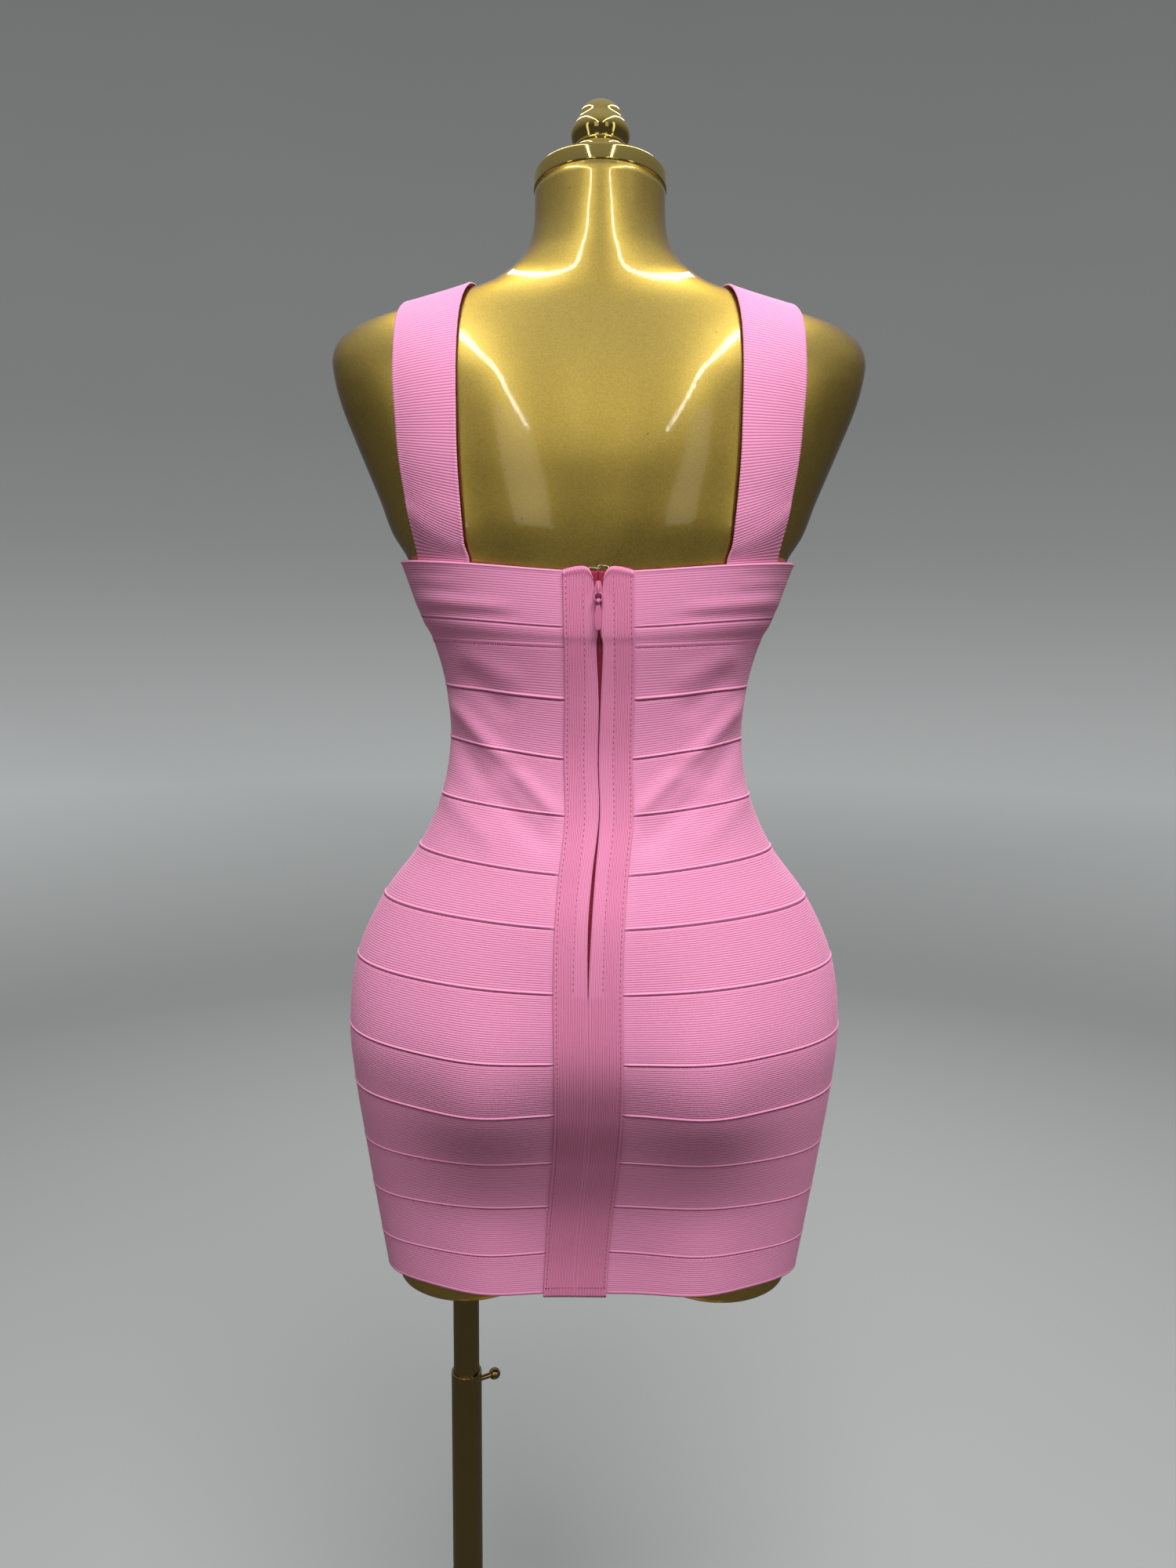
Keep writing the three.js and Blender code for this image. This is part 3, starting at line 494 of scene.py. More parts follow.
def new_material(name):
    """A new material with its shader, a function that adds a node and one that links to the shader.

    Only the material comes back, and None for the rest, where it has been made before.
    """
    material = bpy.data.materials.get(name)
    if material:
        return material, None, None, None
    material = bpy.data.materials.new(name)
    material.use_nodes = True
    tree = material.node_tree
    tree.nodes.clear()
    out = tree.nodes.new("ShaderNodeOutputMaterial")
    shader = tree.nodes.new("ShaderNodeBsdfPrincipled")
    tree.links.new(shader.outputs[0], out.inputs["Surface"])

    def node(kind, **inputs):
        n = tree.nodes.new(kind)
        for key, value in inputs.items():
            if key.startswith("set_"):
                setattr(n, key[4:], value)
                continue
            socket = n.inputs[int(key[1:])] if key[0] == "i" and key[1:].isdigit() else n.inputs[key]
            if isinstance(value, bpy.types.NodeSocket):
                tree.links.new(value, socket)
            else:
                socket.default_value = value
        return n

    def link(value, socket):
        tree.links.new(value, shader.inputs[socket])
    return material, shader, node, link


def fix(shader, values):
    """Sets the shader's sockets that are the same all over a surface."""
    for name, value in values.items():
        shader.inputs[name].default_value = value


def maths(node, operation, a, b=0.5, c=0.5):
    """The output of a math node."""
    return node("ShaderNodeMath", set_operation=operation, i0=a, i1=b, i2=c).outputs[0]


def mix_colours(node, share, a, b):
    """A colour between a and b."""
    return node("ShaderNodeMix", set_data_type="RGBA", i0=share, i6=a, i7=b).outputs[2]


def noise(node, where, scale, detail, rough=0.5):
    """Soft noise from 0 to 1."""
    return node("ShaderNodeTexNoise", Vector=where, Scale=scale, Detail=detail, Roughness=rough).outputs[0]


def ranged(node, value, low, high, to_low, to_high):
    """A value moved from one range to another."""
    return node("ShaderNodeMapRange", Value=value, i1=low, i2=high, i3=to_low, i4=to_high).outputs[0]


def two_tones(node, share, colour, dark, pale):
    """A colour between a dark and a pale tone of it."""
    return mix_colours(node, share, shade(colour, dark), shade(colour, pale))


def lumps(node, link, strength, distance, height, *sockets):
    """Small relief on a surface."""
    lump = node("ShaderNodeBump", Strength=strength, Distance=distance, Height=height)
    for socket in ("Normal",) + sockets:
        link(lump.outputs[0], socket)


def shade(colour, factor):
    """A colour times a factor for each channel, with alpha."""
    return tuple(min(1.0, v * f) for v, f in zip(colour, factor)) + (1.0,)


def knit_finish(name, colour, rib, first, ribs_down=False):
    """Ribbed bandage knit: painted shade in the grooves between the ribs, small loops along them, and uneven
    dye.
    """
    material, shader, node, link = new_material(name)
    if link is None:
        return material
    uv = node("ShaderNodeUVMap", set_uv_map="Weave").outputs[0]
    parts = node("ShaderNodeSeparateXYZ", i0=uv)
    along, down = parts.outputs[0], parts.outputs[1]
    if ribs_down:
        along, down = down, along
    turn = maths(node, "MULTIPLY", maths(node, "SUBTRACT", down, first), 2 * math.pi / rib)
    groove = maths(node, "POWER", maths(node, "MULTIPLY_ADD", maths(node, "COSINE", turn), 0.5, 0.5), 2.0)
    wave = maths(node, "SINE", maths(node, "MULTIPLY", along, 2 * math.pi / LOOP_STEP))
    loops = maths(node, "MULTIPLY", wave, maths(node, "SUBTRACT", 1.0, groove))
    where = node("ShaderNodeTexCoord").outputs["Object"]
    cloud = noise(node, where, 9.0, 3.0, 0.6)
    grain = noise(node, where, 900.0, 2.0, 0.7)
    fluff = noise(node, where, 260.0, 4.0, 0.65)
    base = two_tones(node, cloud, colour, (0.95, 0.92, 0.94), (1.04, 1.08, 1.06))
    light = ranged(node, grain, 0.3, 0.7, 0.0, 1.0)
    fine = two_tones(node, light, colour, (0.90, 0.82, 0.87), (1.08, 1.16, 1.12))
    dyed = mix_colours(node, 0.3, base, fine)
    # painted shade: the colour darkens in each groove between the ribs, most on the plackets
    groove_shade = maths(node, "MULTIPLY", groove, 0.95 if ribs_down else 0.75)
    link(mix_colours(node, groove_shade, dyed, shade(colour, (0.68, 0.50, 0.58))), "Base Color")
    rough = ranged(node, fluff, 0.3, 0.7, 0.72, 0.9)
    link(rough, "Roughness")
    fix(shader, {"Specular IOR Level": 0.25, "Sheen Weight": 0.16, "Sheen Roughness": 0.45,
                 "Sheen Tint": (1.0, 0.85, 0.92, 1.0)})
    height = maths(node, "MULTIPLY_ADD", loops, 0.35, maths(node, "MULTIPLY", fluff, 1.2))
    lumps(node, link, 0.35, 0.00016, height)
    return material


def thread_finish(name, colour):
    """Twisted sewing thread."""
    material, shader, node, link = new_material(name + "_finish")
    if link is None:
        return material
    where = node("ShaderNodeTexCoord").outputs["Object"]
    twist = noise(node, where, 1500.0, 1.0)
    tone = two_tones(node, twist, colour, (0.85, 0.8, 0.83), (1.15, 1.2, 1.2))
    link(tone, "Base Color")
    fix(shader, {"Roughness": 0.7, "Sheen Weight": 0.1})
    lumps(node, link, 0.4, 0.0001, twist)
    return material


def tape_finish(colour):
    """Woven zip tape, coloured dark all over as painted shade from the plackets over it."""
    material, shader, node, link = new_material("shade_painted_zip_tape")
    if link is None:
        return material
    uv = node("ShaderNodeUVMap", set_uv_map="Weave").outputs[0]
    parts = node("ShaderNodeSeparateXYZ", i0=uv)
    a = maths(node, "SINE", maths(node, "MULTIPLY", parts.outputs[0], 2 * math.pi / 0.0008))
    b = maths(node, "SINE", maths(node, "MULTIPLY", parts.outputs[1], 2 * math.pi / 0.0012))
    weave = maths(node, "MULTIPLY", a, b)
    share = maths(node, "MULTIPLY_ADD", weave, 0.5, 0.5)
    tone = two_tones(node, share, colour, (0.7, 0.6, 0.6), (1.3, 1.5, 1.4))
    link(tone, "Base Color")
    fix(shader, {"Roughness": 0.75})
    lumps(node, link, 0.5, 0.0002, weave)
    return material


def enamel_finish(colour):
    """Pink paint on the zip's metal, worn a little."""
    material, shader, node, link = new_material("painted_zip_metal")
    if link is None:
        return material
    where = node("ShaderNodeTexCoord").outputs["Object"]
    cloud = noise(node, where, 420.0, 3.0)
    tone = two_tones(node, cloud, colour, (0.88, 0.8, 0.85), (1.12, 1.25, 1.15))
    link(tone, "Base Color")
    rough = ranged(node, cloud, 0.3, 0.7, 0.26, 0.42)
    link(rough, "Roughness")
    fix(shader, {"Metallic": 0.15, "Coat Weight": 0.5, "Coat Roughness": 0.12})
    lumps(node, link, 0.12, 0.0002, cloud)
    return material


def paint_finish(colour):
    """Metallic gold paint under clear lacquer: fine flakes, cloudy tone, small specks."""
    material, shader, node, link = new_material("gold_flake_lacquer")
    if link is None:
        return material
    where = node("ShaderNodeTexCoord").outputs["Object"]
    flake = node("ShaderNodeTexVoronoi", Vector=where, Scale=1500.0)
    tint = node("ShaderNodeSeparateColor", i0=flake.outputs["Color"]).outputs[0]
    cloud = noise(node, where, 7.0, 4.0, 0.6)
    peel = noise(node, where, 380.0, 2.0, 0.5)
    tone = two_tones(node, cloud, colour, (0.84, 0.84, 0.80), (1.12, 1.14, 1.25))
    flakes = two_tones(node, tint, colour, (0.72, 0.70, 0.6), (1.3, 1.32, 1.5))
    both = mix_colours(node, 0.35, tone, flakes)
    spots = node("ShaderNodeTexVoronoi", Vector=where, Scale=38.0, set_feature="F1").outputs["Distance"]
    speck = ranged(node, spots, 0.02, 0.035, 0.55, 0.0)
    marked = mix_colours(node, speck, both, (0.10, 0.07, 0.03, 1))
    link(marked, "Base Color")
    rough = ranged(node, tint, 0.0, 1.0, 0.28, 0.42)
    link(rough, "Roughness")
    fix(shader, {"Metallic": 1.0, "Specular Tint": (0.30, 0.20, 0.06, 1), "Coat Weight": 1.0,
                 "Coat Roughness": 0.07, "Coat IOR": 1.6})
    lumps(node, link, 0.10, 0.0003, peel, "Coat Normal")
    return material


def plate_finish(name, colour, low, high):
    """Polished plating with faint rub marks."""
    material, shader, node, link = new_material(name)
    if link is None:
        return material
    where = node("ShaderNodeTexCoord").outputs["Object"]
    long = node("ShaderNodeMapping", Vector=where, Scale=(60, 60, 900)).outputs[0]
    rub = noise(node, long, 1.0, 3.0)
    cloud = noise(node, where, 25.0, 4.0, 0.65)
    tone = two_tones(node, cloud, colour, (0.88, 0.85, 0.78), (1.08, 1.08, 1.1))
    link(tone, "Base Color")
    both = maths(node, "MULTIPLY_ADD", rub, 0.5, maths(node, "MULTIPLY", cloud, 0.5))
    rough = ranged(node, both, 0.35, 0.65, low, high)
    link(rough, "Roughness")
    fix(shader, {"Metallic": 1.0})
    lumps(node, link, 0.03, 0.0002, rub)
    return material


def floor_finish(colour):
    """A matt floor and wall with painted light and shade by height: a little darker at its foot and at the
    top, with painted light on the lower wall between.
    """
    material, shader, node, link = new_material("floor_painted_light_and_shade")
    if link is None:
        return material
    where = node("ShaderNodeTexCoord").outputs["Object"]
    cloud = noise(node, where, 1.5, 2.0)
    tone = two_tones(node, cloud, colour, (0.98, 0.98, 0.98), (1.02, 1.02, 1.02))
    # painted light and shade by height: dark at the floor, rising to painted light on the lower wall
    height = node("ShaderNodeSeparateXYZ", i0=where).outputs[2]
    rise = ranged(node, height, 0.0, 0.55, 0.0, 1.0)
    low = two_tones(node, rise, colour, (0.60, 0.60, 0.60), (1.35, 1.35, 1.36))
    # the painted light on the wall fades to the plain tone towards the top
    fall = ranged(node, height, 0.8, 2.1, 0.0, 1.0)
    link(mix_colours(node, fall, low, tone), "Base Color")
    fix(shader, {"Roughness": 0.85, "Specular IOR Level": 0.0})
    return material


# ---- the bands -----------------------------------------------------------------------------------
SEAM_GAP, FORM_GAP, TAPE, ZIP_BANDS = 0.3, 1.1, 11.5, 8
PLAIN_TOP, PLAIN_LOW = 1.6, 2.9  # plain edges above and below a band's ribs
BESIDE_PLACKET = 25.7            # from the zip to where the stitches of a seam start
UNDER_PLACKET = (24.0, 26.0)     # from the zip, where a band's relief fades out under the placket
# How strongly the ribs of each band stand up, as a share of the full depth.
RIB_SHARE = (0.45, 0.40, 0.45, 0.55, 0.6, 0.7, 0.9, 1.0, 1.0, 0.9, 0.6, 0.5, 0.5, 0.5)
# The two seams under the top band are flat and stitched; the rest are rolled ridges.
FLAT_SEAMS = (1, 2)


def band_columns(u, count, placket, zipped):
    """Angles of a band's columns at each row u: one end by the zip, round the body, to the other."""
    u = np.asarray(u, float)
    x = through(LEVELS["zip"], u)
    inset = TAPE + 0.5 if zipped else SEAM_GAP / 2
    left, right = angle_at(u, x + placket), angle_at(u, x - placket)
    under = [angle_at(u, x + inset + (placket - inset) * t) for t in (0, 0.33, 0.66)]
    beyond = [2 * math.pi + angle_at(u, x - inset - (placket - inset) * t) for t in (0.66, 0.33, 0)]
    span = 2 * math.pi + right - left
    t = np.linspace(0, 1, count)
    middle = left[:, None] + span[:, None] * (t + 0.02 * np.sin(4 * math.pi * t))[None, :]
    return np.concatenate([np.stack(under, 1), middle, np.stack(beyond, 1)], 1)


def rib_rows(tall, pitch, top, low):
    """Distances of a ribbed strip's rows from its top edge: three to a rib, and closer ones at its edges.

    Also tells each row's place within its rib, 0 in the groove, and -1 on the plain edges.
    """
    ribs = max(1, int(round((tall - top - low) / pitch)))
    at = top + (tall - top - low) * np.arange(3 * ribs + 1) / (3 * ribs)
    phase = np.arange(3 * ribs + 1) % 3
    above = np.array([0, 0.3, 0.7, 1.2])
    below = tall - np.array([2.5, 2.1, 1.75, 1.4, 1.1, 0.8, 0.5, 0.25, 0])
    above, below = above[above < top - 0.2], below[below > tall - low + 0.2]
    return (np.concatenate([above, at, below]),
            np.concatenate([np.full(len(above), -1), phase, np.full(len(below), -1)]))


def make_band(k, props):
    """One knit band, from its upper edge k to the seam below it."""
    cloth, pitch = props.cloth / MM, props.rib_pitch / MM
    tall = LEVELS["side"][k] - LEVELS["side"][k + 1]
    gap = SEAM_GAP / 2 / tall
    d_top, phase = rib_rows(tall, pitch, PLAIN_TOP, PLAIN_LOW)
    d_low = tall - d_top
    u = k + gap + (1 - 2 * gap) * d_top / tall
    angles = band_columns(u, props.columns, props.placket / MM, k < ZIP_BANDS)
    base = skin(u[:, None], angles)
    normal = skin_normal(u[:, None], angles)
    out = props.rib_depth / MM * RIB_SHARE[k] * np.choose(phase + 1, [0, -1.2, 0.6, 0.6])
    seam, ridge = k + 1, props.ridge / MM
    if seam == LAST:
        out = out + 0.25 * hump(d_low - 1.2, 0.9) - 0.25 * hump(d_low, 0.5)
    elif seam in FLAT_SEAMS:
        out = out + 0.2 * hump(d_low - 1.2, 0.6) - 0.2 * hump(d_low, 0.4)
    else:
        high = ridge * (0.55 if seam > 10 else 1)
        out = out + high * hump(d_low - 1.3, 0.62) - 0.55 * hump(d_low, 0.35)
    if k:
        out = out - 0.5 * hump(d_top, 0.7)
    else:
        out = out + 0.3 * hump(d_top - 1.0, 0.8) - 0.3 * hump(d_top, 0.4)
    under = smooth(np.abs(base[..., 0] - through(LEVELS["zip"], u)[:, None]), *UNDER_PLACKET)
    under = np.where(base[..., 1] > 0, under, 1)
    folds = drape(base) * under
    outer = base + normal * (out[:, None] * under + folds - 0.15 * (1 - under))[..., None]
    pick = np.linspace(0, len(u) - 1, 6).astype(int)
    inner = base[pick] + normal[pick] * (folds[pick] - cloth)[..., None]
    weave = lengths(base)
    ribs = (phase == 0).sum() - 1
    nominal = np.cumsum([0, PLAIN_TOP, ribs * pitch, PLAIN_LOW])
    weave[..., 1] = (np.interp(d_top, [0, PLAIN_TOP, tall - PLAIN_LOW, tall], nominal) * MM)[:, None]
    points, faces, uv = shell(outer, inner, weave)
    groove = groove_marks(points, np.repeat(np.where(phase == 0, np.arange(len(u)), -1), outer.shape[1]))
    obj = make_piece(f"knit_band_{k + 1:02d}", points, faces, uv, groove=groove)
    material = knit_finish("pink_bandage_knit", props.knit_colour[:], pitch * MM, PLAIN_TOP * MM)
    settle(obj, "form", "pink_knit", material, f"band_{k + 1:02d}")


def seam_ticks(name, seams, rise, drop, out, thread, step, colour):
    """Overlock stitches: a short thread across each seam, again and again along it."""
    parts = []
    for seam in seams:
        tall = LEVELS["side"][seam] - LEVELS["side"][seam + 1]
        above = LEVELS["side"][seam - 1] - LEVELS["side"][seam]
        x_zip = through(LEVELS["zip"], float(seam))
        a0 = float(angle_at(float(seam), x_zip + BESIDE_PLACKET))
        a1 = 2 * math.pi + float(angle_at(float(seam), x_zip - BESIDE_PLACKET))
        fine = np.linspace(a0, a1, 600)
        line = skin(float(seam), fine)
        far = run_of(line)
        n = int(far[-1] / step)
        at = np.interp((np.arange(n) + 0.5) * far[-1] / n, far, fine)
        ends = []
        first, last = -rise / above, drop / tall
        for down, high in ((first, out * 0.3), ((last + first) / 2, out), (last, out * 0.3)):
            u = seam + down
            p = on_skin(u, at, high)
            ends.append(p + skin_normal(u, at) * drape(p)[..., None])
        parts.append(strokes(np.stack(ends, 1), thread, 4))
    points, faces = gather(parts)
    obj = make_piece(name, points, faces)
    return settle(obj, "form", "pink_knit", thread_finish(name, colour))


def strokes(paths, radius, sides=5):
    """Short threads: one closed tube for each of many paths with the same number of points."""
    n, m = paths.shape[:2]
    tangent = np.gradient(paths, axis=1)
    tangent /= np.linalg.norm(tangent, axis=-1, keepdims=True) + 1e-12
    away = np.cross(tangent, np.array([0.31, 0.2, 0.93]))
    away /= np.linalg.norm(away, axis=-1, keepdims=True) + 1e-12
    other = np.cross(tangent, away)
    a = np.linspace(0, 2 * math.pi, sides, endpoint=False)
    size = np.ones(m)
    size[0] = size[-1] = 0.55
    ring = (np.cos(a)[:, None] * away[:, :, None, :] + np.sin(a)[:, None] * other[:, :, None, :]) * radius
    grid = paths[:, :, None, :] + ring * size[None, :, None, None]
    points = grid.reshape(-1, 3)
    base = quads(m, sides, wrap=True)
    faces = (base[None] + (np.arange(n) * m * sides)[:, None, None]).reshape(-1, 4)
    caps = np.stack([np.arange(sides), np.arange(m * sides - 1, m * sides - sides - 1, -1)])
    caps = (caps[None] + (np.arange(n) * m * sides)[:, None, None]).reshape(-1, sides)
    return points, [faces, caps]


class DRESS_OT_bands(bpy.types.Operator):
    """Build the fourteen knit bands and the stitches at their seams"""
    bl_idname = "dress.bands"
    bl_label = "Knit Bands"

    def execute(self, context):
        props = context.scene.dress_cloth
        for k in range(LAST):
            make_band(k, props)
        seam_ticks("overlock_thread", (2, 11, 12, 13), 1.0, 1.3, 0.30, 0.15, 1.9,
                   [v * 1.05 for v in props.knit_colour])
        seam_ticks("seam_thread", (1, 3, 4, 5, 6, 7, 8, 9, 10), 0.2, 0.5, -0.3, 0.15, 2.1,
                   [v * 0.8 for v in props.knit_colour])
        return {"FINISHED"}


# ---- plackets, zip tapes, straps -----------------------------------------------------------------
LIFT = 1.7            # from the bands to the plackets on them
STITCH_AT = 10.4      # from the zip to the row of stitches that holds the tape
PLACKET_RIBS = 17
RIBS_FROM, RIBS_TO = 0.045, 0.9  # the ribbed share of a placket's width
WEAVE_WIDTH = 0.024   # a placket's width in its weave layer
STRAP_RIB, COIL_STEP = 1.9, 1.3
STRAP_TUCK = 1.6      # from the top band to a strap's end behind it


def placket_relief(d, slit, width, u, down, phase):
    """Height of a placket's ribs and edges at a distance d from the zip, in mm."""
    zipped = 1 - smooth(u, 7.97, 8.03)
    # the ribs cover the whole width at the top and below the zip, and only the outer part between
    start = zipped * (3.0 + (STITCH_AT - 3.0) * smooth(down, 9, 24)) + (1 - zipped) * (slit + 1.3)
    body = smooth(d, start, start + 0.6) * (1 - smooth(d, width - 2.6, width - 2.2))
    depth = 0.22 + 0.08 * np.exp(-down / 30) + 0.06 * (1 - zipped)
    out = depth * np.choose(phase + 1, [0.0, -1.3, 0.6, 0.6])[None, :] * body
    # a rolled lip along the outer edge, with the line of stitches sunk inside it
    out = out + 0.32 * hump(d - (width - 0.9), 0.5) - 0.3 * hump(d - (width - 2.1), 0.35)
    out = out - 0.32 * hump(d - STITCH_AT, 0.4) * zipped * smooth(down, 12, 20)
    out = out + 0.22 * hump(d - slit - 0.9, 0.6) - 0.6 * hump(d - slit, 0.4)
    out = out - 0.5 * hump(d - width, 0.3)
    # the folded top edge rolls over
    return out + 0.55 * hump(down - 2.0, 1.7) - 0.9 * hump(down, 0.8)


def placket_grid(side, props):
    """Rows, slit, shares, rib phases, distances and angles of a placket's points."""
    width = props.placket / MM
    rows_u = np.concatenate([np.linspace(0, 0.2, 14)[:-1], np.linspace(0.2, 7.9, 150)[:-1],
                             np.linspace(7.9, 8.1, 10)[:-1], np.linspace(8.1, LAST, 120)])
    slit = np.maximum(SEAM_GAP / 2, through(LEVELS["slit"], rows_u))
    # below the zip the two edges are sewn together
    slit = np.where(rows_u > ZIP_BANDS, 0.02 + (slit - 0.02) * np.exp(-(rows_u - ZIP_BANDS) * 25), slit)
    inner, outer = np.array([0, 0.012, 0.028]), np.array([0.915, 0.93, 0.948, 0.966, 0.984, 1.0])
    share = np.concatenate([inner, np.linspace(RIBS_FROM, RIBS_TO, 3 * PLACKET_RIBS + 1), outer])
    phase = np.concatenate([np.full(3, -1), np.arange(3 * PLACKET_RIBS + 1) % 3, np.full(6, -1)])
    d = slit[:, None] + (width - slit[:, None]) * share[None, :]
    x = through(LEVELS["zip"], rows_u)[:, None]
    # the ribs bow towards the zip just under the top edge
    fall = (rows_u * 40)[:, None]
    bow = 1.3 * hump(fall - 7, 8) * np.sin(math.pi * share)[None, :] * smooth(fall, 0, 4)
    angles = angle_at(np.repeat(rows_u[:, None], d.shape[1], 1), x + side * (d - bow))
    return rows_u, slit, share, phase, d, angles


def make_placket(name, side, props):
    """The ribbed strip on one side of the zip."""
    width = props.placket / MM
    rows_u, slit, share, phase, d, angles = placket_grid(side, props)
    base = on_skin(rows_u[:, None], angles, LIFT)
    normal = skin_normal(rows_u[:, None], angles)
    down = np.maximum(LEVELS["back"][0] - base[..., 2], 0)
    out = placket_relief(d, slit[:, None], width, rows_u[:, None], down, phase)
    # the top swells between its corners and rounds down to the zip
    crown = np.interp(share, [0, 0.05, 0.12, 0.22, 0.35, 0.6, 0.85, 1],
                      [-4.6, -1.6, 1.2, 2.8, 3.3, 2.6, 1.2, 0])
    rise = crown[None, :] * np.exp(-((down / 7) ** 1.5))
    outer = base + normal * out[..., None]
    outer[..., 2] += rise
    low = smooth(rows_u, LAST - 0.25, LAST)[:, None]
    outer[..., 2] -= 1.5 * low
    pick = np.unique(np.concatenate([[0, 4, 12], np.linspace(20, len(rows_u) - 1, 45).astype(int)]))
    inner = on_skin(rows_u[pick, None], angles[pick], LIFT - props.cloth / MM)
    inner[..., 2] += rise[pick] - 1.5 * low[pick]
    weave = lengths(base)
    weave[..., 0] = (share * WEAVE_WIDTH)[None, :]
    groove = np.repeat(np.where(phase == 0, np.arange(len(phase)), -1)[None, :], len(rows_u), 0)
    if side < 0:
        outer, inner, weave, groove = outer[:, ::-1], inner[:, ::-1], weave[:, ::-1], groove[:, ::-1]
    points, faces, uv = shell(outer, inner, weave)
    obj = make_piece(f"ribbed_placket_{name}", points, faces, uv, groove=groove_marks(points, groove))
    rib = WEAVE_WIDTH * (RIBS_TO - RIBS_FROM) / PLACKET_RIBS
    material = knit_finish("pink_ribbed_placket", props.rib_colour[:], rib, WEAVE_WIDTH * RIBS_FROM,
                           ribs_down=True)
    settle(obj, "form", "pink_rib", material, f"placket_{name}")


def placket_stitches(props):
    """Running stitches: one row by the outer edge of each placket and one that holds the zip tape."""
    width = props.placket / MM
    parts = []
    for side in (1, -1):
        for d, last, step, long in ((width - 2.1, LAST - 0.1, 3.9, 2.0), (STITCH_AT, ZIP_BANDS, 4.2, 2.0)):
            fine = np.linspace(0.06, last, 1200)
            at = angle_at(fine, through(LEVELS["zip"], fine) + side * d)
            line = on_skin(fine, at, LIFT)
            far = run_of(line)
            n = int(far[-1] / step)
            first = np.arange(n) * step + 0.4
            ends = []
            for t, out in ((0, -0.35), (0.25, 0.06), (0.75, 0.06), (1, -0.35)):
                u = np.interp(first + t * long, far, fine)
                a = angle_at(u, through(LEVELS["zip"], u) + side * d)
                ends.append(on_skin(u, a, LIFT + out - 0.08))
            parts.append(strokes(np.stack(ends, 1), 0.24, 6))
        # the turned-up lower end
        for t in np.linspace(1.5, width - 2.5, 9):
            u = LAST - 0.22
            d = np.array([t, t + 0.5, t + 1.2, t + 1.7])
            a = angle_at(np.full(4, u), through(LEVELS["zip"], u) + side * d)
            p = on_skin(np.full(4, u), a, LIFT + np.array([0.0, 0.3, 0.3, 0.0]))
            p[:, 2] -= 1.0
            parts.append(strokes(p[None], 0.18, 5))
    points, faces = gather(parts)
    obj = make_piece("placket_stitches", points, faces)
    # the stitches take the thread's colour, darkened as painted shade of their holes
    return settle(obj, "form", "pink_rib", thread_finish("placket_stitches", props.thread_and_hole_shade_colour[:]))


def make_tape(name, side, props):
    """The woven tape on one side of the zip."""
    rows_u = np.linspace(0, ZIP_BANDS - 0.005, 170)
    d = np.linspace(SEAM_GAP / 2, TAPE, 13)
    x = through(LEVELS["zip"], rows_u)[:, None]
    angles = angle_at(np.repeat(rows_u[:, None], len(d), 1), x + side * d[None, :])
    relief = 0.55 * hump(d - 1.2, 0.7) - 0.3
    outer = on_skin(rows_u[:, None], angles, np.broadcast_to(relief, angles.shape))
    pick = np.linspace(0, len(rows_u) - 1, 36).astype(int)
    inner = on_skin(rows_u[pick, None], angles[pick], -props.cloth / MM)
    grid, back = (outer, inner) if side > 0 else (outer[:, ::-1], inner[:, ::-1])
    points, faces, uv = shell(grid, back, lengths(grid))
    obj = make_piece(f"woven_tape_{name}", points, faces, uv)
    # the tape's dark colour is painted shade from the plackets
    settle(obj, "form", "zip_tape", tape_finish(props.tape_shade_colour[:]), f"zip_tape_{name}")


def zip_coil(props):
    """The coil of the closed zip, seen through the slit: one small loop after another."""
    fine = np.linspace(0.42, ZIP_BANDS - 0.03, 1400)
    at = angle_at(fine, through(LEVELS["zip"], fine))
    line = on_skin(fine, at, 0.35)
    far = run_of(line)
    n = int(far[-1] / COIL_STEP)
    u = np.interp((np.arange(n) + 0.5) * far[-1] / n, far, fine)
    x = through(LEVELS["zip"], u)
    ends = []
    for d, out, slip in ((-1.5, 0.05, 0), (-0.8, 0.42, 0.1), (0, 0.5, 0.32), (0.8, 0.42, 0.5),
                         (1.5, 0.05, 0.6)):
        row = u + slip / 42
        ends.append(on_skin(row, angle_at(row, x + d), out))
    points, faces = strokes(np.stack(ends, 1), 0.3, 6)
    obj = make_piece("zip_coil", points, faces)
    # the coil takes the tape's dark finish, painted shade in the slit
    return settle(obj, "form", "zip_tape", tape_finish(props.tape_shade_colour[:]))


class DRESS_OT_plackets(bpy.types.Operator):
    """Build the two ribbed plackets, their stitches and the zip tapes with the coil between them"""
    bl_idname = "dress.plackets"
    bl_label = "Plackets and Zip Tapes"

    def execute(self, context):
        props = context.scene.dress_cloth
        for name, side in (("left", 1), ("right", -1)):
            make_tape(name, side, props)
            make_placket(name, side, props)
        placket_stitches(props)
        zip_coil(props)
        return {"FINISHED"}


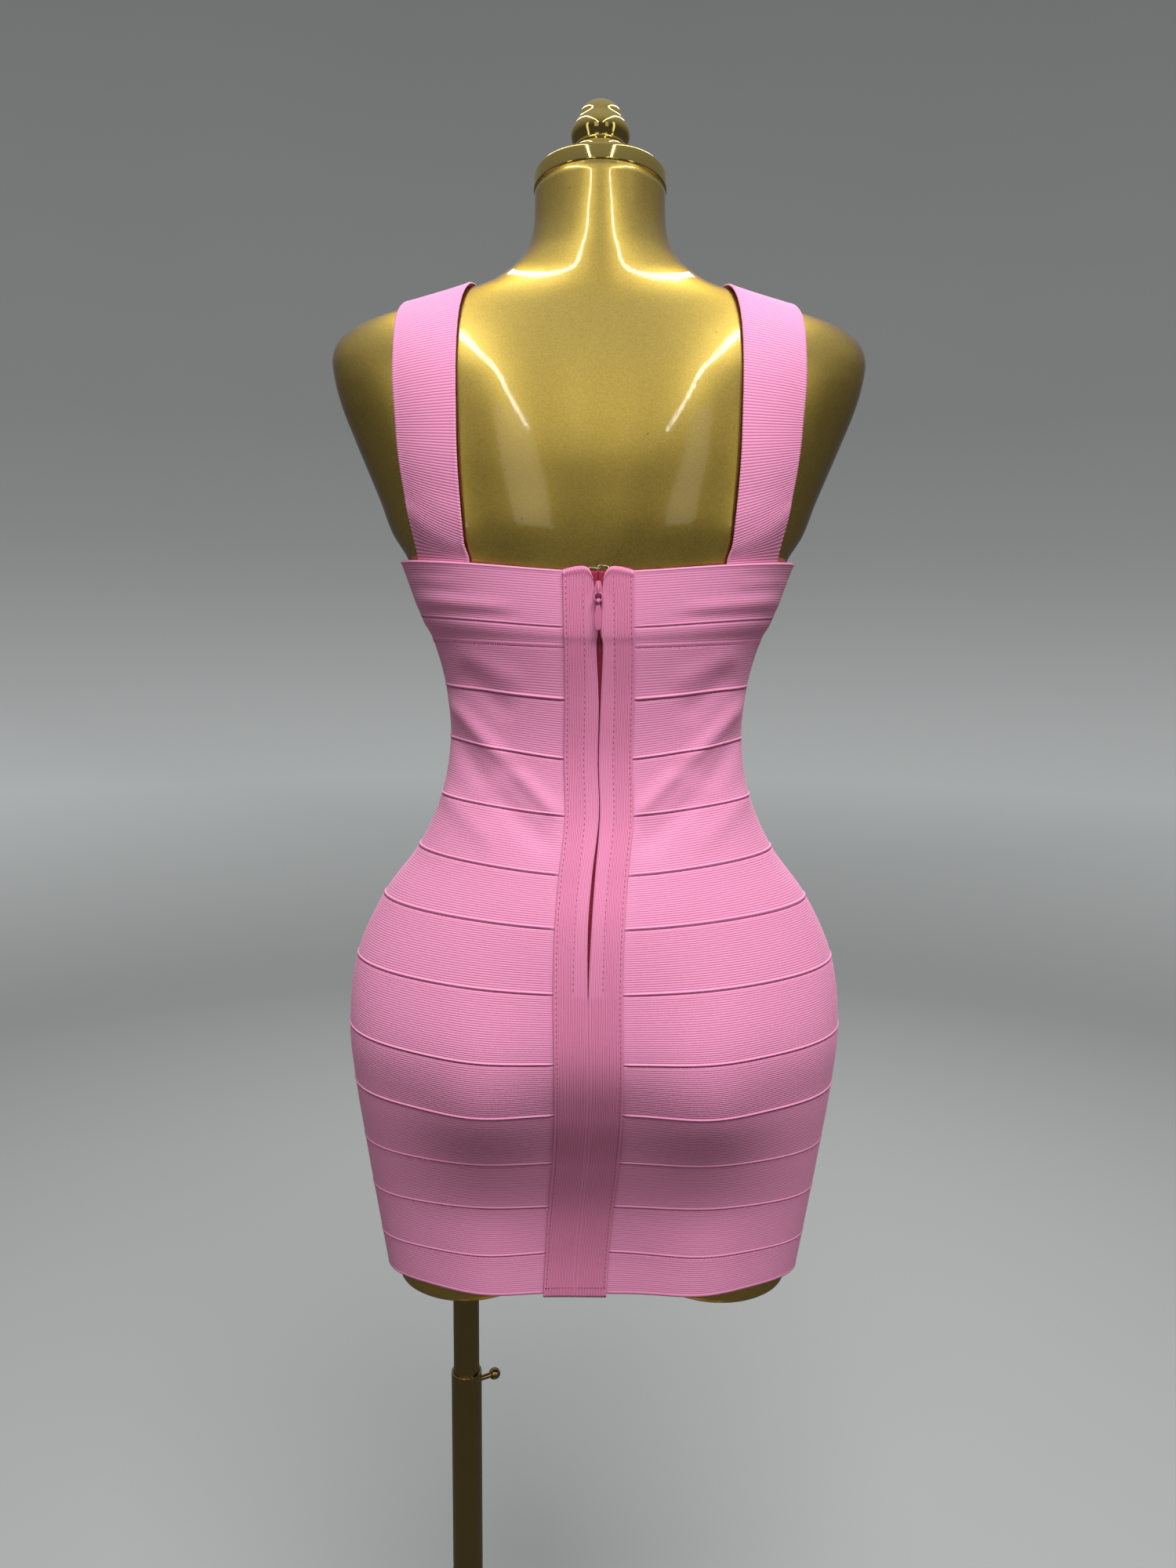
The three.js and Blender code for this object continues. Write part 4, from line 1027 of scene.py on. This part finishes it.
def strap_rows(form_tree):
    """Rows of the wearer's left strap, five points across, on its inside, and their outward directions."""
    across = np.array([0.5, 0.25, 0, -0.25, -0.5])
    rows, normals = [], []

    def tucked(end, front):
        out = []
        for u in (0.34, 0.17, 0.0):
            p, n = [], []
            for e in across:
                a = angle_beside(np.array(float(u)), end[0] + e * end[1], front)
                d = -(BAND_WALL + STRAP_TUCK + STRAP_WALL)
                q0, q1 = on_skin(0.0, a, d), on_skin(1.0, a, d)
                p.append(q0 + (q1 - q0) * u)
                n.append(skin_normal(np.array(float(u)), np.array(a)))
            out.append((np.array(p), np.array(n)))
        return out

    for p, n in tucked(STRAP_FOOT, False):
        rows.append(p), normals.append(n)
    steps = np.arange(0, 2 * (len(STRAP) - 1) + 1) / 2
    for s in steps:
        turn, x, w = (float(through(STRAP[:, k], s)) for k in range(3))
        ray = Vector((0, math.cos(math.radians(turn)), math.sin(math.radians(turn))))
        lift = 2.3 + 1.8 * float(np.clip((turn - 185) / 20, 0, 1))
        p, n = [], []
        for e in across:
            start = Vector(((x + e * w) * MM, 0, STRAP_HUB * MM))
            hit, normal, _, _ = form_tree.ray_cast(start, ray)
            hit, normal = np.array(hit) / MM, np.array(normal)
            normal = normal if normal @ np.array(ray) > 0 else -normal
            p.append(hit + normal * lift)
            n.append(normal)
        rows.append(np.array(p)), normals.append(np.array(n))
    for p, n in reversed(tucked(STRAP_HEAD, True)):
        rows.append(p), normals.append(n)
    return np.array(rows), np.array(normals)


def make_strap(name, side, props, form_tree):
    """One knit strap; the right one mirrors the left."""
    rows, normals = strap_rows(form_tree)
    far = run_of(rows[:, 2])
    ribs = int(far[-1] / STRAP_RIB)
    at = np.linspace(0, far[-1], 3 * ribs + 1)
    phase = np.arange(3 * ribs + 1) % 3
    dense, turned = spline(far, rows, at), spline(far, normals, at)
    share = np.concatenate([[0, 0.010, 0.024, 0.04], np.linspace(0.06, 0.94, 19), [0.96, 0.976, 0.99, 1]])
    grid = spline(np.linspace(0, 1, 5), dense.transpose(1, 0, 2), share).transpose(1, 0, 2)
    normal = spline(np.linspace(0, 1, 5), turned.transpose(1, 0, 2), share).transpose(1, 0, 2)
    normal /= np.linalg.norm(normal, axis=-1, keepdims=True)
    edge = np.minimum(share, 1 - share)[None, :]
    rib = np.choose(phase, [-0.15, 0.07, 0.07])[:, None]
    roll = 0.16 * hump(edge - 0.03, 0.016) - 0.5 * hump(edge, 0.010)
    outer = grid + normal * (STRAP_WALL + rib + roll)[..., None]
    # small loops along both selvages
    cross = grid[:, -1] - grid[:, 0]
    cross /= np.linalg.norm(cross, axis=-1, keepdims=True)
    loops = np.choose(phase, [-0.22, 0.12, 0.12])
    outer[:, :2] -= cross[:, None] * loops[:, None, None]
    outer[:, -2:] += cross[:, None] * loops[:, None, None]
    inner = grid[np.linspace(0, len(at) - 1, 110).astype(int)]
    flipped = np.array([side, 1, 1])
    outer, inner = outer * flipped, inner * flipped
    weave = lengths(outer)
    weave[..., 1] = (at * MM)[:, None]
    # the left strap runs from its outer edge to its inner one, so it turns the faces round
    if side > 0:
        outer, inner, weave = outer[:, ::-1], inner[:, ::-1], weave[:, ::-1]
    points, faces, uv = shell(outer, inner, weave)
    groove = groove_marks(points, np.repeat(np.where(phase == 0, np.arange(len(at)), -1), outer.shape[1]))
    obj = make_piece(f"knit_strap_{name}", points, faces, uv, groove=groove)
    material = knit_finish("pink_strap_knit", props.knit_colour[:], far[-1] / ribs * MM, 0.0)
    settle(obj, "form", "pink_rib", material, f"strap_{name}")


class DRESS_OT_straps(bpy.types.Operator):
    """Build the two knit straps over the shoulders of the form"""
    bl_idname = "dress.straps"
    bl_label = "Straps"

    def execute(self, context):
        props = context.scene.dress_cloth
        form = bpy.data.objects["form_shell"]
        tree = BVHTree.FromObject(form, context.evaluated_depsgraph_get())
        for name, side in (("left", 1), ("right", -1)):
            make_strap(name, side, props, tree)
        return {"FINISHED"}


# ---- the form ------------------------------------------------------------------------------------
def dress_ring(u, angles):
    """The form under the dress at row u, further in where the cloth bridges a hollow."""
    tuck = float(np.interp(u, [0, 1, 2], [3.3, 2.6, 0]))
    p = on_skin(float(u), angles, -(BAND_WALL + FORM_GAP + tuck) * np.ones_like(angles))
    c = np.cos(angles)
    hollow = float(np.interp(u, np.arange(LAST + 1), LEVELS["hollow"]))
    p[:, 1] -= np.where(c > 0, hollow * hump(p[:, 0], 42), 0)
    h, d = (p[:, 2] - BUST_Z) / BUST_H, (np.abs(p[:, 0]) - BUST_X) / BUST_W
    dip = BUST_OUT * np.exp(-h * h) * (0.95 - np.exp(-d * d)) * np.clip(-c * 3, 0, 1) * 0.9
    p[:, 1] += np.where((c < 0) & (np.abs(p[:, 0]) < BUST_X), dip, 0)
    return p


def shoulder_ring(row, angles):
    """A ring of the form above the dress."""
    z0, face, half, rear, fore, nb, nf = row
    s, c = np.sin(angles), np.cos(angles)
    n, deep = np.where(c > 0, nb, nf), np.where(c > 0, rear, fore)
    r = (np.abs(s / half) ** n + np.abs(c / deep) ** n) ** (-1 / n)
    z = z0 + np.where(c < 0, (face - z0) * c * c, 0)
    h, e = (z - BUST_Z) / BUST_H, (np.abs(r * s) - BUST_X) / BUST_W
    bust = BUST_OUT * np.exp(-h * h) * np.exp(-e * e) * np.clip(-c * 3, 0, 1) * 0.8
    return np.stack([r * s, r * c - np.where(c < 0, bust, 0), z], -1)


def blades(p):
    """Shoulder blades and the hollow of the spine between them, above the dress."""
    x, y, z = p[..., 0], p[..., 1], p[..., 2]
    where = smooth(z, 1226, 1262) * (1 - smooth(z, 1385, 1425)) * smooth(y, 20, 60)
    blade = 2.4 * np.exp(-(((np.abs(x) - 70) / 34) ** 2) - ((z - 1335) / 46) ** 2)
    spine = -1.6 * hump(x, 24)
    return (blade + spine) * where


def even_loft(rings, rows):
    """Smooth rows through rings of points."""
    rings = np.array(rings)
    step = np.linalg.norm(np.diff(rings, axis=0), axis=-1).mean(1)
    far = np.concatenate([[0], np.cumsum(step)])
    return spline(far, rings, np.linspace(0, far[-1], rows))


def closed_loft(grid):
    """Points and faces of a solid through rings listed from the bottom up, angles clockwise from above."""
    rows, cols = grid.shape[:2]
    points = np.concatenate([grid.reshape(-1, 3), grid[0].mean(0)[None], grid[-1].mean(0)[None]])
    j = np.arange(cols)
    k = (j + 1) % cols
    low = np.stack([np.full(cols, rows * cols), j, k], -1)
    top = np.stack([np.full(cols, rows * cols + 1), (rows - 1) * cols + k, (rows - 1) * cols + j], -1)
    return points, [quads(rows, cols, wrap=True), low, top]


class DRESS_OT_form(bpy.types.Operator):
    """Build the limbless dress form: torso, neck and thigh stubs as one body"""
    bl_idname = "dress.form"
    bl_label = "Dress Form"

    def execute(self, context):
        props = context.scene.stand_finish
        angles = np.linspace(0, 2 * math.pi, props.sides, endpoint=False)
        rings = [dress_ring(u, angles)
                 for u in np.r_[12, 11.9, 11.8, 11.65, np.arange(11.5, -0.01, -0.5)]]
        low = rings[0]
        bottom = [np.stack([low[:, 0] * f, low[:, 1] * f - 8 * (1 - f), np.full(len(low), CROTCH - deep)], -1)
                  for f, deep in ((0.3, 22), (0.6, 20), (0.8, 15), (0.93, 9))]
        top = [shoulder_ring(row, angles) for row in SHOULDERS]
        neck = shoulder_ring((NECK_TOP, NECK_TOP, 48, 48, 48, 2, 2), angles)
        neck[:, 2] += neck[:, 1] * math.tan(NECK_TILT)
        torso = even_loft(bottom + rings + top + [neck], 230)
        torso[..., 1] += blades(torso)
        # lower where the cloth is drawn in
        away = torso * [0.6, 1, 0]
        away /= np.linalg.norm(away, axis=-1, keepdims=True)
        torso += away * 1.2 * np.minimum(drape(torso), 0)[..., None]
        points, faces = closed_loft(torso)
        form = make_piece("form_shell", points, faces)
        for side in (1, -1):
            stub_angles = np.linspace(0, 2 * math.pi, 96, endpoint=False)
            rings = [np.stack([side * cx + hx * np.sin(stub_angles), cy + hy * np.cos(stub_angles),
                               np.full(96, float(z))], -1) for z, cx, hx, cy, hy in THIGH]
            p, f = closed_loft(even_loft(rings, 60))
            stub = make_piece("thigh_stub", p, f)
            join = form.modifiers.new("join", "BOOLEAN")
            join.operation, join.solver, join.object = "UNION", "EXACT", stub
            bake(form)
            data = stub.data
            bpy.data.objects.remove(stub)
            bpy.data.meshes.remove(data)
        form.data.polygons.foreach_set("use_smooth", np.ones(len(form.data.polygons), bool))
        settle(form, "form", "gold_paint", paint_finish(props.paint_colour[:]), "dress_form")
        return {"FINISHED"}


def turned(material, name, body, slot, node, profile, place, sides):
    """A turned piece, in place."""
    points, faces = lathe(profile, sides, place)
    settle(weld(make_piece(name, points, faces)), body, slot, material, node)


class DRESS_OT_cap(bpy.types.Operator):
    """Build the plated neck cap and the finial on it"""
    bl_idname = "dress.cap"
    bl_label = "Neck Cap and Finial"

    def execute(self, context):
        props = context.scene.stand_finish
        lean = Matrix.Translation((0, 0, NECK_TOP)) @ Matrix.Rotation(NECK_TILT, 4, "X")
        gold = plate_finish("polished_gold_plate", props.plate_colour[:], 0.04, 0.10)
        cap = [(0, 0.4), (47.8, 0.4), (48.6, 1.2), (48.6, 11.6), (47.2, 13.4), (45, 14), (0, 14)]
        turned(gold, "plated_neck_cap", "form", "gold_plate", "neck_cap", rounded(cap, 1.2), lean, 128)
        f = 14.3
        knob = [(0, f), (18, f), (20.2, f + 3), (21.4, f + 7), (21.8, f + 11), (21.2, f + 15),
                (19.2, f + 18.4), (18.4, f + 20.2), (19.4, f + 22.2), (21.3, f + 26), (21.8, f + 29.5),
                (21, f + 33), (18.6, f + 37), (17.4, f + 39), (16.2, f + 43.4), (13.2, f + 48),
                (9, f + 51.6), (4.4, f + 53.6), (0, f + 54)]
        shape = curve_points(knob[1:], 70)
        shape[:, 0] = np.maximum(shape[:, 0], 0)
        shape = np.concatenate([[knob[0]], shape])
        turned(gold, "plated_finial", "form", "gold_plate", "finial", shape, lean, 96)
        return {"FINISHED"}


class DRESS_OT_stand(bpy.types.Operator):
    """Build the tubes, clamp screw, socket and round base of the stand"""
    bl_idname = "dress.stand"
    bl_label = "Stand"

    def execute(self, context):
        props = context.scene.stand_finish
        plate = plate_finish("dull_tube_plate", props.stand_colour[:], 0.12, 0.24)
        at = Matrix.Translation((POLE_X, 0, 0))
        inner = [(9.1, 240), (10.6, 240), (10.6, STUB_Z - 0.4), (0, STUB_Z - 0.4), (0, STUB_Z - 8),
                 (9.1, STUB_Z - 8), (9.1, 240)]
        outer = [(10.69, 9.4), (TUBE_R, 9.4), (TUBE_R, 568), (10.69, 568), (10.69, 9.4)]
        socket = [(12.8, 9.3), (34, 9.3), (34, 13), (31, 15.5), (19, 18), (17, 21), (17, 53), (16, 55),
                  (12.8, 55), (12.8, 9.3)]
        base = [(0, 0), (188, 0), (190, 2), (190, 6), (187, 9), (0, 9)]
        for name, body, node, profile, place, radius, sides in (
            ("plated_inner_tube", "pole", "inner_tube", inner, at, 0.5, 96),
            ("plated_outer_tube", "stand", "outer_tube", outer, at, 0.45, 96),
            ("plated_base_socket", "stand", "base_socket", socket, at, 1.0, 96),
            ("plated_base", "stand", "base_plate", base, Matrix.Identity(4), 1.4, 192),
        ):
            turned(plate, name, body, "stand_plate", node, rounded(profile, radius), place, sides)
        aim = Matrix.Rotation(CLAMP_AIM, 4, "Z") @ Matrix.Rotation(math.radians(-90), 4, "Y")
        turn = at @ Matrix.Translation((0, 0, CLAMP_Z)) @ aim
        r = TUBE_R
        screw = [(0, 10.95), (2.2, 10.95), (2.2, r + 9), (3.2, r + 9.6), (4.4, r + 11.2), (4.8, r + 13.4),
                 (4.4, r + 15.6), (2.8, r + 17.6), (0, r + 18.2)]
        screw = rounded(screw, 1.2)
        turned(plate, "plated_clamp_screw", "clamp", "stand_plate", "clamp_screw", screw, turn, 48)
        return {"FINISHED"}


# ---- slider, link, pull, hook and eye ------------------------------------------------------------
ZIP_PLACE = (-0.2, 93.95, 1207)
HOOK_Y, HOOK_Z = 88.5, 1222.6  # the middle of the hook and eye


def bevelled_plate(outline, y0, y1, bevel):
    """A flat part cut to an outline in X and Z, with rounded edges."""
    line = np.asarray(outline, float)
    n = len(line)
    before, after = np.roll(line, 1, 0), np.roll(line, -1, 0)
    tangent = after - before
    tangent /= np.linalg.norm(tangent, axis=1, keepdims=True)
    inward = np.stack([-tangent[:, 1], tangent[:, 0]], 1)
    if ((line.mean(0) - line) * inward).sum() < 0:
        inward = -inward
    rings = []
    for t in (90, 60, 30, 0):
        a = math.radians(t)
        rings.append((bevel * (1 - math.cos(a)), y0 + bevel * (1 - math.sin(a))))
    rings += [(i, y0 + y1 - y) for i, y in reversed(rings)]
    grid = np.stack([np.insert(line + inward * i, 1, y, axis=1) for i, y in rings])
    faces = [quads(len(rings), n, wrap=True), np.arange(n)[None, :],
             np.arange((len(rings) - 1) * n, len(rings) * n)[::-1][None, :]]
    return grid.reshape(-1, 3), faces


def even_outline(points, count):
    """A closed outline with evenly spaced points."""
    p = np.asarray(points + points[:1], float)
    far = run_of(p)
    at = np.linspace(0, far[-1], count, endpoint=False)
    return np.stack([np.interp(at, far, p[:, 0]), np.interp(at, far, p[:, 1])], -1)


def bezier(a, b, c, d, n=12):
    """Points on a cubic curve, without its last one."""
    t = np.linspace(0, 1, n, endpoint=False)[:, None]
    a, b, c, d = (np.array(v, float) for v in (a, b, c, d))
    curve = (1 - t) ** 3 * a + 3 * t * (1 - t) ** 2 * b + 3 * t * t * (1 - t) * c + t ** 3 * d
    return [tuple(p) for p in curve]


class DRESS_OT_zip(bpy.types.Operator):
    """Build the painted zip slider, its link and its pull, and the wire hook and eye above it"""
    bl_idname = "dress.zip"
    bl_label = "Zip Slider, Hook and Eye"

    def execute(self, context):
        props = context.scene.dress_cloth
        enamel = enamel_finish(props.enamel_colour[:])
        place = np.array(ZIP_PLACE)
        shield = bezier((-1.8, 6.4), (-0.8, 7.6), (0.8, 7.6), (1.8, 6.4)) + [
            (1.8, 6.4), (2.9, 1), (2.6, -4.6), (-2.6, -4.6), (-2.9, 1)]
        body = bevelled_plate(even_outline(shield, 72), 0, 1.6, 0.45)
        bridge = tube(curve_points([(0, 1.2, 5.2), (0, 3.2, 4.9), (0, 4.8, 3), (0, 5.2, 0.4), (0, 4.6, -2),
                                    (0, 3, -3.4), (0, 1.2, -3.6)], 40), 0.75, 16)
        points, faces = gather([body, bridge])
        slider = make_piece("painted_slider", points + place, faces)
        settle(slider, "form", "pink_enamel", enamel, "zip_slider")
        a = np.linspace(0, 2 * math.pi, 48, endpoint=False)
        ring = np.stack([2.9 * np.cos(a), np.full(48, 3.0), -3.9 + 2.9 * np.sin(a)], -1)
        points, faces = tube(ring, 0.7, 14, closed=True)
        link = weld(make_piece("painted_link", points + place, faces))
        settle(link, "zip_link", "pink_enamel", enamel, "zip_link")
        leaf = bezier((-1.2, -1.9), (-2.4, -7), (-2.9, -13), (-2, -18.2)) + bezier(
            (-2, -18.2), (-1.3, -20.4), (1.3, -20.4), (2, -18.2)) + bezier(
            (2, -18.2), (2.9, -13), (2.4, -7), (1.2, -1.9)) + [(1.2, -1.9)]
        points, faces = bevelled_plate(even_outline(leaf, 96), -0.75, 0.75, 0.5)
        # a shallow hollow down the leaf
        mid = hump(points[:, 0], 1.1) * np.clip((-points[:, 2] - 4) / 4, 0, 1)
        points[:, 1] -= 0.18 * mid * np.sign(points[:, 1])
        knuckle = lathe([(1.25, -1.2), (1.95, -1.2), (2.15, -1.0), (2.15, 1.0), (1.95, 1.2), (1.25, 1.2),
                         (1.25, -1.2)], 40, Matrix.Rotation(math.radians(90), 4, "Y"))
        points, faces = gather([(points, faces), knuckle])
        pull = weld(make_piece("painted_pull", points + np.array([0, 3, -6.8]) + place, faces))
        settle(pull, "zip_pull", "pink_enamel", enamel, "zip_pull")
        wire = plate_finish("silver_wire", (0.72, 0.70, 0.63), 0.12, 0.3)
        y, z = HOOK_Y, HOOK_Z
        hook = [(7.6, y + 1.1, z - 4), (7.4, y + 1.2, z - 0.6), (5.4, y + 1.2, z + 0.6),
                (2.4, y + 1.2, z + 0.2), (-0.6, y + 1.2, z), (-1.9, y, z), (-0.6, y - 1.2, z),
                (2.2, y - 1.2, z)]
        eye = [(-7.4, y + 1, z - 3.6), (-7, y + 0.6, z + 1.2), (-3.6, y, z + 2.2), (-0.2, y, z + 1.8),
               (0.7, y, z), (-0.2, y, z - 1.8), (-3.6, y, z - 2.2), (-5.4, y + 0.6, z - 2.6)]
        for name, path, node in (("wire_hook", hook, "hook"), ("wire_eye", eye, "eye")):
            points, faces = tube(curve_points(path, 60), 0.45, 12)
            settle(make_piece(name, points, faces), "form", "hook_wire", wire, node)
        return {"FINISHED"}


# ---- the stage -----------------------------------------------------------------------------------
class DRESS_OT_stage(bpy.types.Operator):
    """Set up the plain floor, the soft lights, the pale surroundings and the camera"""
    bl_idname = "dress.stage"
    bl_label = "Stage"

    def execute(self, context):
        props = context.scene.stage_set
        scene = context.scene
        # a round floor that sweeps up into a plain wall, far behind the object on every side
        bend = [(3.0 + 1.6 * math.sin(a), 1.6 - 1.6 * math.cos(a)) for a in np.linspace(0, math.pi / 2, 16)]
        profile = [(0.0, 0.0), (0.8, 0.0), (2.0, 0.0)] + bend + [(4.6, 5.0), (4.6, 9.0)]
        points, faces = lathe(np.array(profile) * 1000 - np.array([0, 0.2]), 96)
        floor = weld(make_piece("floor", points, faces), 1e-5)
        # its finish paints light and shade on the floor and wall by height
        floor.data.materials.append(floor_finish(props.floor_colour[:]))
        floor.visible_diffuse = floor.visible_glossy = floor.visible_shadow = False

        world = bpy.data.worlds.new("pale_surroundings")
        scene.world = world
        world.use_nodes = True
        nodes, links = world.node_tree.nodes, world.node_tree.links
        high = nodes.new("ShaderNodeSeparateXYZ")
        links.new(nodes.new("ShaderNodeTexCoord").outputs["Generated"], high.inputs[0])
        ramp = nodes.new("ShaderNodeValToRGB")
        share = nodes.new("ShaderNodeMapRange")
        share.inputs[1].default_value, share.inputs[2].default_value = -1.0, 1.0
        links.new(high.outputs[2], share.inputs[0])
        links.new(share.outputs[0], ramp.inputs[0])
        ramp.color_ramp.elements[0].color = (0.115, 0.108, 0.10, 1)
        ramp.color_ramp.elements[1].color = (0.60, 0.62, 0.63, 1)
        for at, tone in ((0.46, 0.085), (0.54, 0.11), (0.70, 0.26)):
            ramp.color_ramp.elements.new(at).color = (tone, tone * 1.01, tone, 1)
        links.new(ramp.outputs[0], nodes["Background"].inputs[0])
        nodes["Background"].inputs[1].default_value = props.light

        def area(name, power, place, aim, size, size_y, glossy=True, diffuse=True):
            light = bpy.data.lights.new(name, "AREA")
            light.shape, light.size, light.size_y = "RECTANGLE", size, size_y
            light.energy = power * props.light
            obj = bpy.data.objects.new(name, light)
            scene.collection.objects.link(obj)
            obj.visible_glossy, obj.visible_diffuse = glossy, diffuse
            obj.location = place
            obj.rotation_euler = (Vector(aim) - Vector(place)).to_track_quat("-Z", "Y").to_euler()

        area("overhead_soft", 68, (-0.2, 1.25, 2.9), (0, 0.0, 1.0), 1.2, 0.8, False)
        area("left_strip", 2.6, (1.7, 1.4, 1.45), (0, 0, 1.1), 0.3, 1.7)
        area("right_strip", 3.0, (-1.7, 1.4, 1.55), (0, 0, 1.1), 0.3, 1.7)
        # tall dim cards whose blurred reflections make the upright bands on the gold
        for x, wide, power in ((1.0, 1.0, 4.6), (-1.5, 0.8, 3.4)):
            area("card", power, (x, 3.6, 1.7), (0, 0, 1.3), wide, 2.2, diffuse=False)
        area("front_soft", 42, (-0.3, -2.0, 2.6), (0, 0, 1.0), 1.4, 1.2, False)
        for side in (1, -1):
            x = 0.6 * side
            area(f"ceiling_strip_{side}", 17, (x, 1.4, 2.62), (x, 1.4, 0), 0.07, 5.6, diffuse=False)

        lens = bpy.data.cameras.new("camera")
        camera = bpy.data.objects.new("camera", lens)
        scene.collection.objects.link(camera)
        lens.lens, lens.sensor_width, lens.sensor_fit = props.lens, 36, "AUTO"
        lens.clip_start = 0.01
        p, r = props.pitch, props.roll
        right, down = Vector((-1, 0, 0)), Vector((0, math.sin(p), -math.cos(p)))
        ahead = Vector((0, -math.cos(p), -math.sin(p)))
        x_axis = right * math.cos(r) - down * math.sin(r)
        y_axis = -(right * math.sin(r) + down * math.cos(r))
        turn = Matrix((x_axis, y_axis, -ahead)).transposed().to_4x4()
        camera.matrix_world = Matrix.Translation(props.eye) @ turn
        scene.camera = camera
        scene.view_settings.view_transform = "Standard"
        return {"FINISHED"}


class DRESS_PT_panel(bpy.types.Panel):
    """Builds the dress, the form and the stand piece by piece"""
    bl_label = "Dress on Form"
    bl_idname = "DRESS_PT_panel"
    bl_space_type = "VIEW_3D"
    bl_region_type = "UI"
    bl_category = "Dress"

    def draw(self, context):
        layout = self.layout
        for group in (context.scene.dress_cloth, context.scene.stand_finish, context.scene.stage_set):
            box = layout.box()
            for key in group.__annotations__:
                box.prop(group, key)
        for operator in OPERATORS:
            layout.operator(operator.bl_idname)


GROUPS = (DressCloth, StandFinish, StageSet)
OPERATORS = (DRESS_OT_form, DRESS_OT_bands, DRESS_OT_plackets, DRESS_OT_straps, DRESS_OT_cap, DRESS_OT_stand,
             DRESS_OT_zip, DRESS_OT_stage)


def register():
    for cls in GROUPS + OPERATORS + (DRESS_PT_panel,):
        bpy.utils.register_class(cls)
    bpy.types.Scene.dress_cloth = PointerProperty(type=DressCloth)
    bpy.types.Scene.stand_finish = PointerProperty(type=StandFinish)
    bpy.types.Scene.stage_set = PointerProperty(type=StageSet)


def unregister():
    del bpy.types.Scene.stage_set
    del bpy.types.Scene.stand_finish
    del bpy.types.Scene.dress_cloth
    for cls in reversed(GROUPS + OPERATORS + (DRESS_PT_panel,)):
        bpy.utils.unregister_class(cls)


def main():
    register()
    bpy.ops.dress.form()
    bpy.ops.dress.bands()
    bpy.ops.dress.plackets()
    bpy.ops.dress.straps()
    bpy.ops.dress.cap()
    bpy.ops.dress.stand()
    bpy.ops.dress.zip()
    bpy.ops.dress.stage()


if __name__ == "__main__":
    main()
